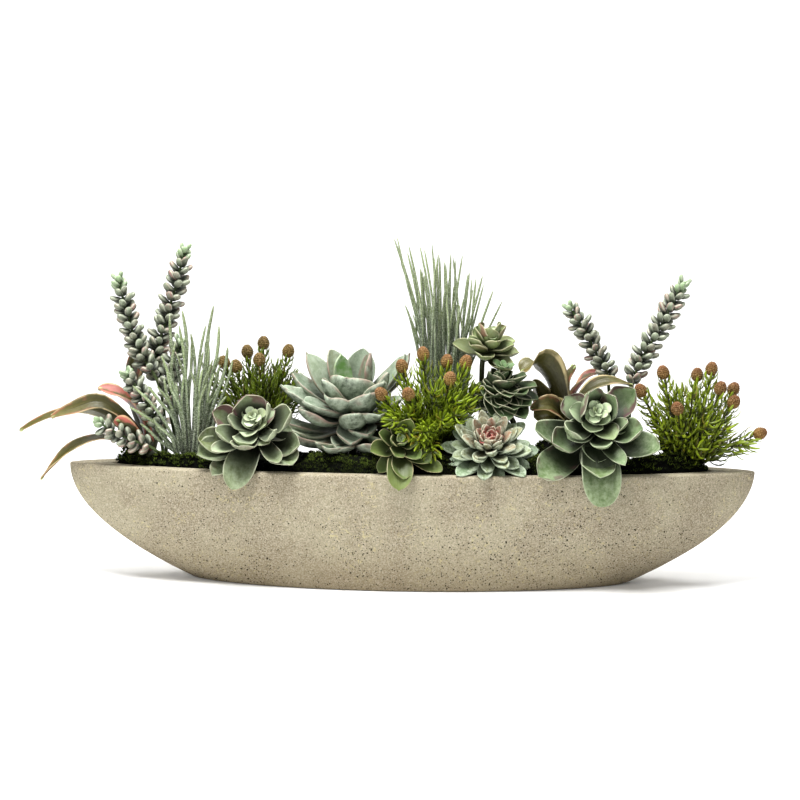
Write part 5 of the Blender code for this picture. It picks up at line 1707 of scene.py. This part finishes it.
# %% Growing a bush
def needle_bush(name, skin, needle_length, breadth, pitch, sides, seed):
    """pitch is the way from whorl to whorl in millimetres, and sides the number of needles in each."""
    bush = BUSHES[name]
    draw = random.Random(seed)
    bunch = Bunch()
    clump_crown(bunch, name, [(2, BUSH_CROWN), (9, 6)], sides=10)
    lines = [(twig_line(name, tip, True), True) for tip in bush["cones"]]
    lines += [(twig_line(name, tip, False), False) for tip in bush["leafy"] + bush["fronds"]]

    def needle(spot, ahead, away, lift, length, age):
        """A flat needle that leaves the twig at an angle and curves up along it."""
        out = away * math.cos(lift) + ahead * math.sin(lift)
        side = out.cross(ahead).normalized()
        inward = side.cross(out)
        curve = draw.uniform(0.1, 0.26) * length
        end = spot + out * length - Vector((0, 0, 0.06 * length))
        route = [spot.lerp(end, s) - inward * (4 * s * (1 - s) * curve) for s in (0, 0.25, 0.5, 0.75, 1)]
        half = breadth / 2 * MM * draw.uniform(0.85, 1.15)
        laid = lay(NEEDLE, route, side, lambda along: half * swell(np.clip(along, 0, 1) ** 0.8) ** 0.5,
                   lambda along: 0.9 * MM * swell(along) ** 0.5, cup=0.3)
        bunch.leaf(NEEDLE, laid, tone=draw.random(), age=min(1, max(0, age)), spare=draw.random())

    for line, has_cone in lines:
        fine = smooth_route(line, 20)
        whole = length_of(fine)
        thick = TWIG_RADIUS * MM
        stem(bunch, fine[::2], [thick * (1 - 0.35 * i / 10) for i in range(11)], 6, skin=1)
        start = 0.04
        last = 0.97 if has_cone else 1.0
        whorls = max(4, int(whole * (last - start) / (pitch * MM)))
        frames = spread_frame(fine, False)
        for whorl in range(whorls):
            share = start + (last - start) * (whorl + 0.5) / whorls
            spot = places_along(fine, [share * whole])[0]
            ahead, u, v = frames[min(20, int(share * 20))]
            near_end = max(0, (share - 0.7) / 0.3)
            for k in range(sides):
                turn = whorl * 0.72 + 2 * math.pi * k / sides + draw.uniform(-0.3, 0.3)
                lift = math.radians(draw.uniform(36, 60) + 14 * near_end)
                length = needle_length * MM * draw.uniform(0.7, 0.95) * (1 - 0.25 * near_end)
                needle(spot, ahead, u * math.cos(turn) + v * math.sin(turn), lift, length,
                       0.05 + share * draw.uniform(0.75, 1.05))
    return bunch.piece(name + "_needles", [skin, twig_skin], "needle", name)


# each needle skin's first colour is near-black: painted shade deep in the bush
olive = needle_skin("dark olive needle", "#182205", "#627416", "#5a3c1a")
bright = needle_skin("bright yellow-green needle", "#142004", "#7f931a", "#7d6a1e")
mid = needle_skin("mid green needle", "#161f04", "#7d8f16", "#77611c")
needle_bush("bush_left", olive, 24, 3.2, 5.4, 5, 61)
needle_bush("bush_centre", bright, 30, 3.7, 6.4, 5, 62)
needle_bush("bush_right", mid, 29, 3.8, 6.2, 4, 63)

# %% [markdown]
# ## Seed cones
#
# On the twig ends sit egg-shaped seed heads, orange-brown and covered in fine bumps. One is modelled from
# a ball: every face is inset and pushed out to a scale, and the whole is drawn to an egg. It is then
# copied to each packed cone, on the twig's end and in its direction.

# %% One cone
begin()
bpy.ops.mesh.primitive_uv_sphere_add(segments=16, ring_count=12, radius=1)
cone_form = bpy.context.active_object
bpy.ops.object.mode_set(mode="EDIT")
bpy.ops.mesh.select_all(action="SELECT")
bpy.ops.mesh.inset(thickness=0.04, use_individual=True)
bpy.ops.mesh.extrude_faces_move(TRANSFORM_OT_shrink_fatten={"value": 0.10})
bpy.ops.object.mode_set(mode="OBJECT")
cone_points = np.array([v.co for v in cone_form.data.vertices])
cone_faces = [tuple(face.vertices) for face in cone_form.data.polygons]
bpy.data.objects.remove(cone_form)
lift = (cone_points[:, 2] + 1) / 2
squeeze = 1.0 - 0.3 * np.clip(lift - 0.4, 0, 1) ** 1.2
cone_points[:, 0] *= squeeze
cone_points[:, 1] *= squeeze
cone_places = np.stack([np.zeros(len(lift)), np.clip(lift, 0, 1), np.linalg.norm(cone_points, axis=1)], 1)
print("cone form:", len(cone_faces), "faces")


# %% The cones' material
def cone_skin(name, low, high, crest):
    """Moulded foam seed head: matt, ochre to rust, with painted shade between the bumps, redder at the crown.
    """
    made, tree, coords = material(name, 0.85, 0.25)
    (_, _, along, out), (_, tone, _, _) = leaf_numbers(tree)
    grain = node(tree, "TexNoise", {"Vector": coords, "Scale": 560.0, "Detail": 2.0})
    colour = tint(tree, low, high, tone)
    colour = tint(tree, colour, crest, along, 0.5, 1.0, 0.7)
    # painted shade between the bumps and a little painted light on their tops, by distance from the middle
    colour = shaded(tree, colour, out, 0.9, 1.06, 0.35, 1.1)
    colour = tint(tree, colour, "#b3946a", grain, 0.52, 0.68, 0.6)
    colour = tint(tree, colour, "#3a2a14", grain, 0.46, 0.34, 0.7)
    surface(made, colour, grain, 0.7, 0.8 * MM)
    return made


def cone_group(name, skin, seed):
    draw = random.Random(seed)
    bunch = Bunch()
    for tip in BUSHES[name]["cones"]:
        _, knee, end = twig_line(name, tip, True)
        ahead = (end - knee).normalized()
        turn = ahead.to_track_quat("Z", "Y").to_matrix() @ Matrix.Rotation(draw.uniform(0, 6.28), 3, "Z")
        scaled = cone_points * np.array((CONE_RADIUS, CONE_RADIUS, CONE_HEIGHT / 2.1)) * MM
        centre = np.array(tuple(end + ahead * (GAP + CONE_HEIGHT / 2 * MM)))
        bunch.add(scaled @ np.array(turn).T + centre, cone_faces, cone_places, tone=draw.random())
    replaced = [f"{name}_cone_{number + 1}" for number in range(len(BUSHES[name]["cones"]))]
    return bunch.piece(name + "_cones", [skin], "cone", *replaced)


cone_group("bush_left", cone_skin("brown-green seed head", "#4f441c", "#6c5a28", "#5f4a24"), 71)
cone_group("bush_centre", cone_skin("orange-brown seed head", "#75592c", "#8f7038", "#86583a"), 72)
cone_group("bush_right", cone_skin("rust-brown seed head", "#6a4e28", "#836232", "#7d4c34"), 73)
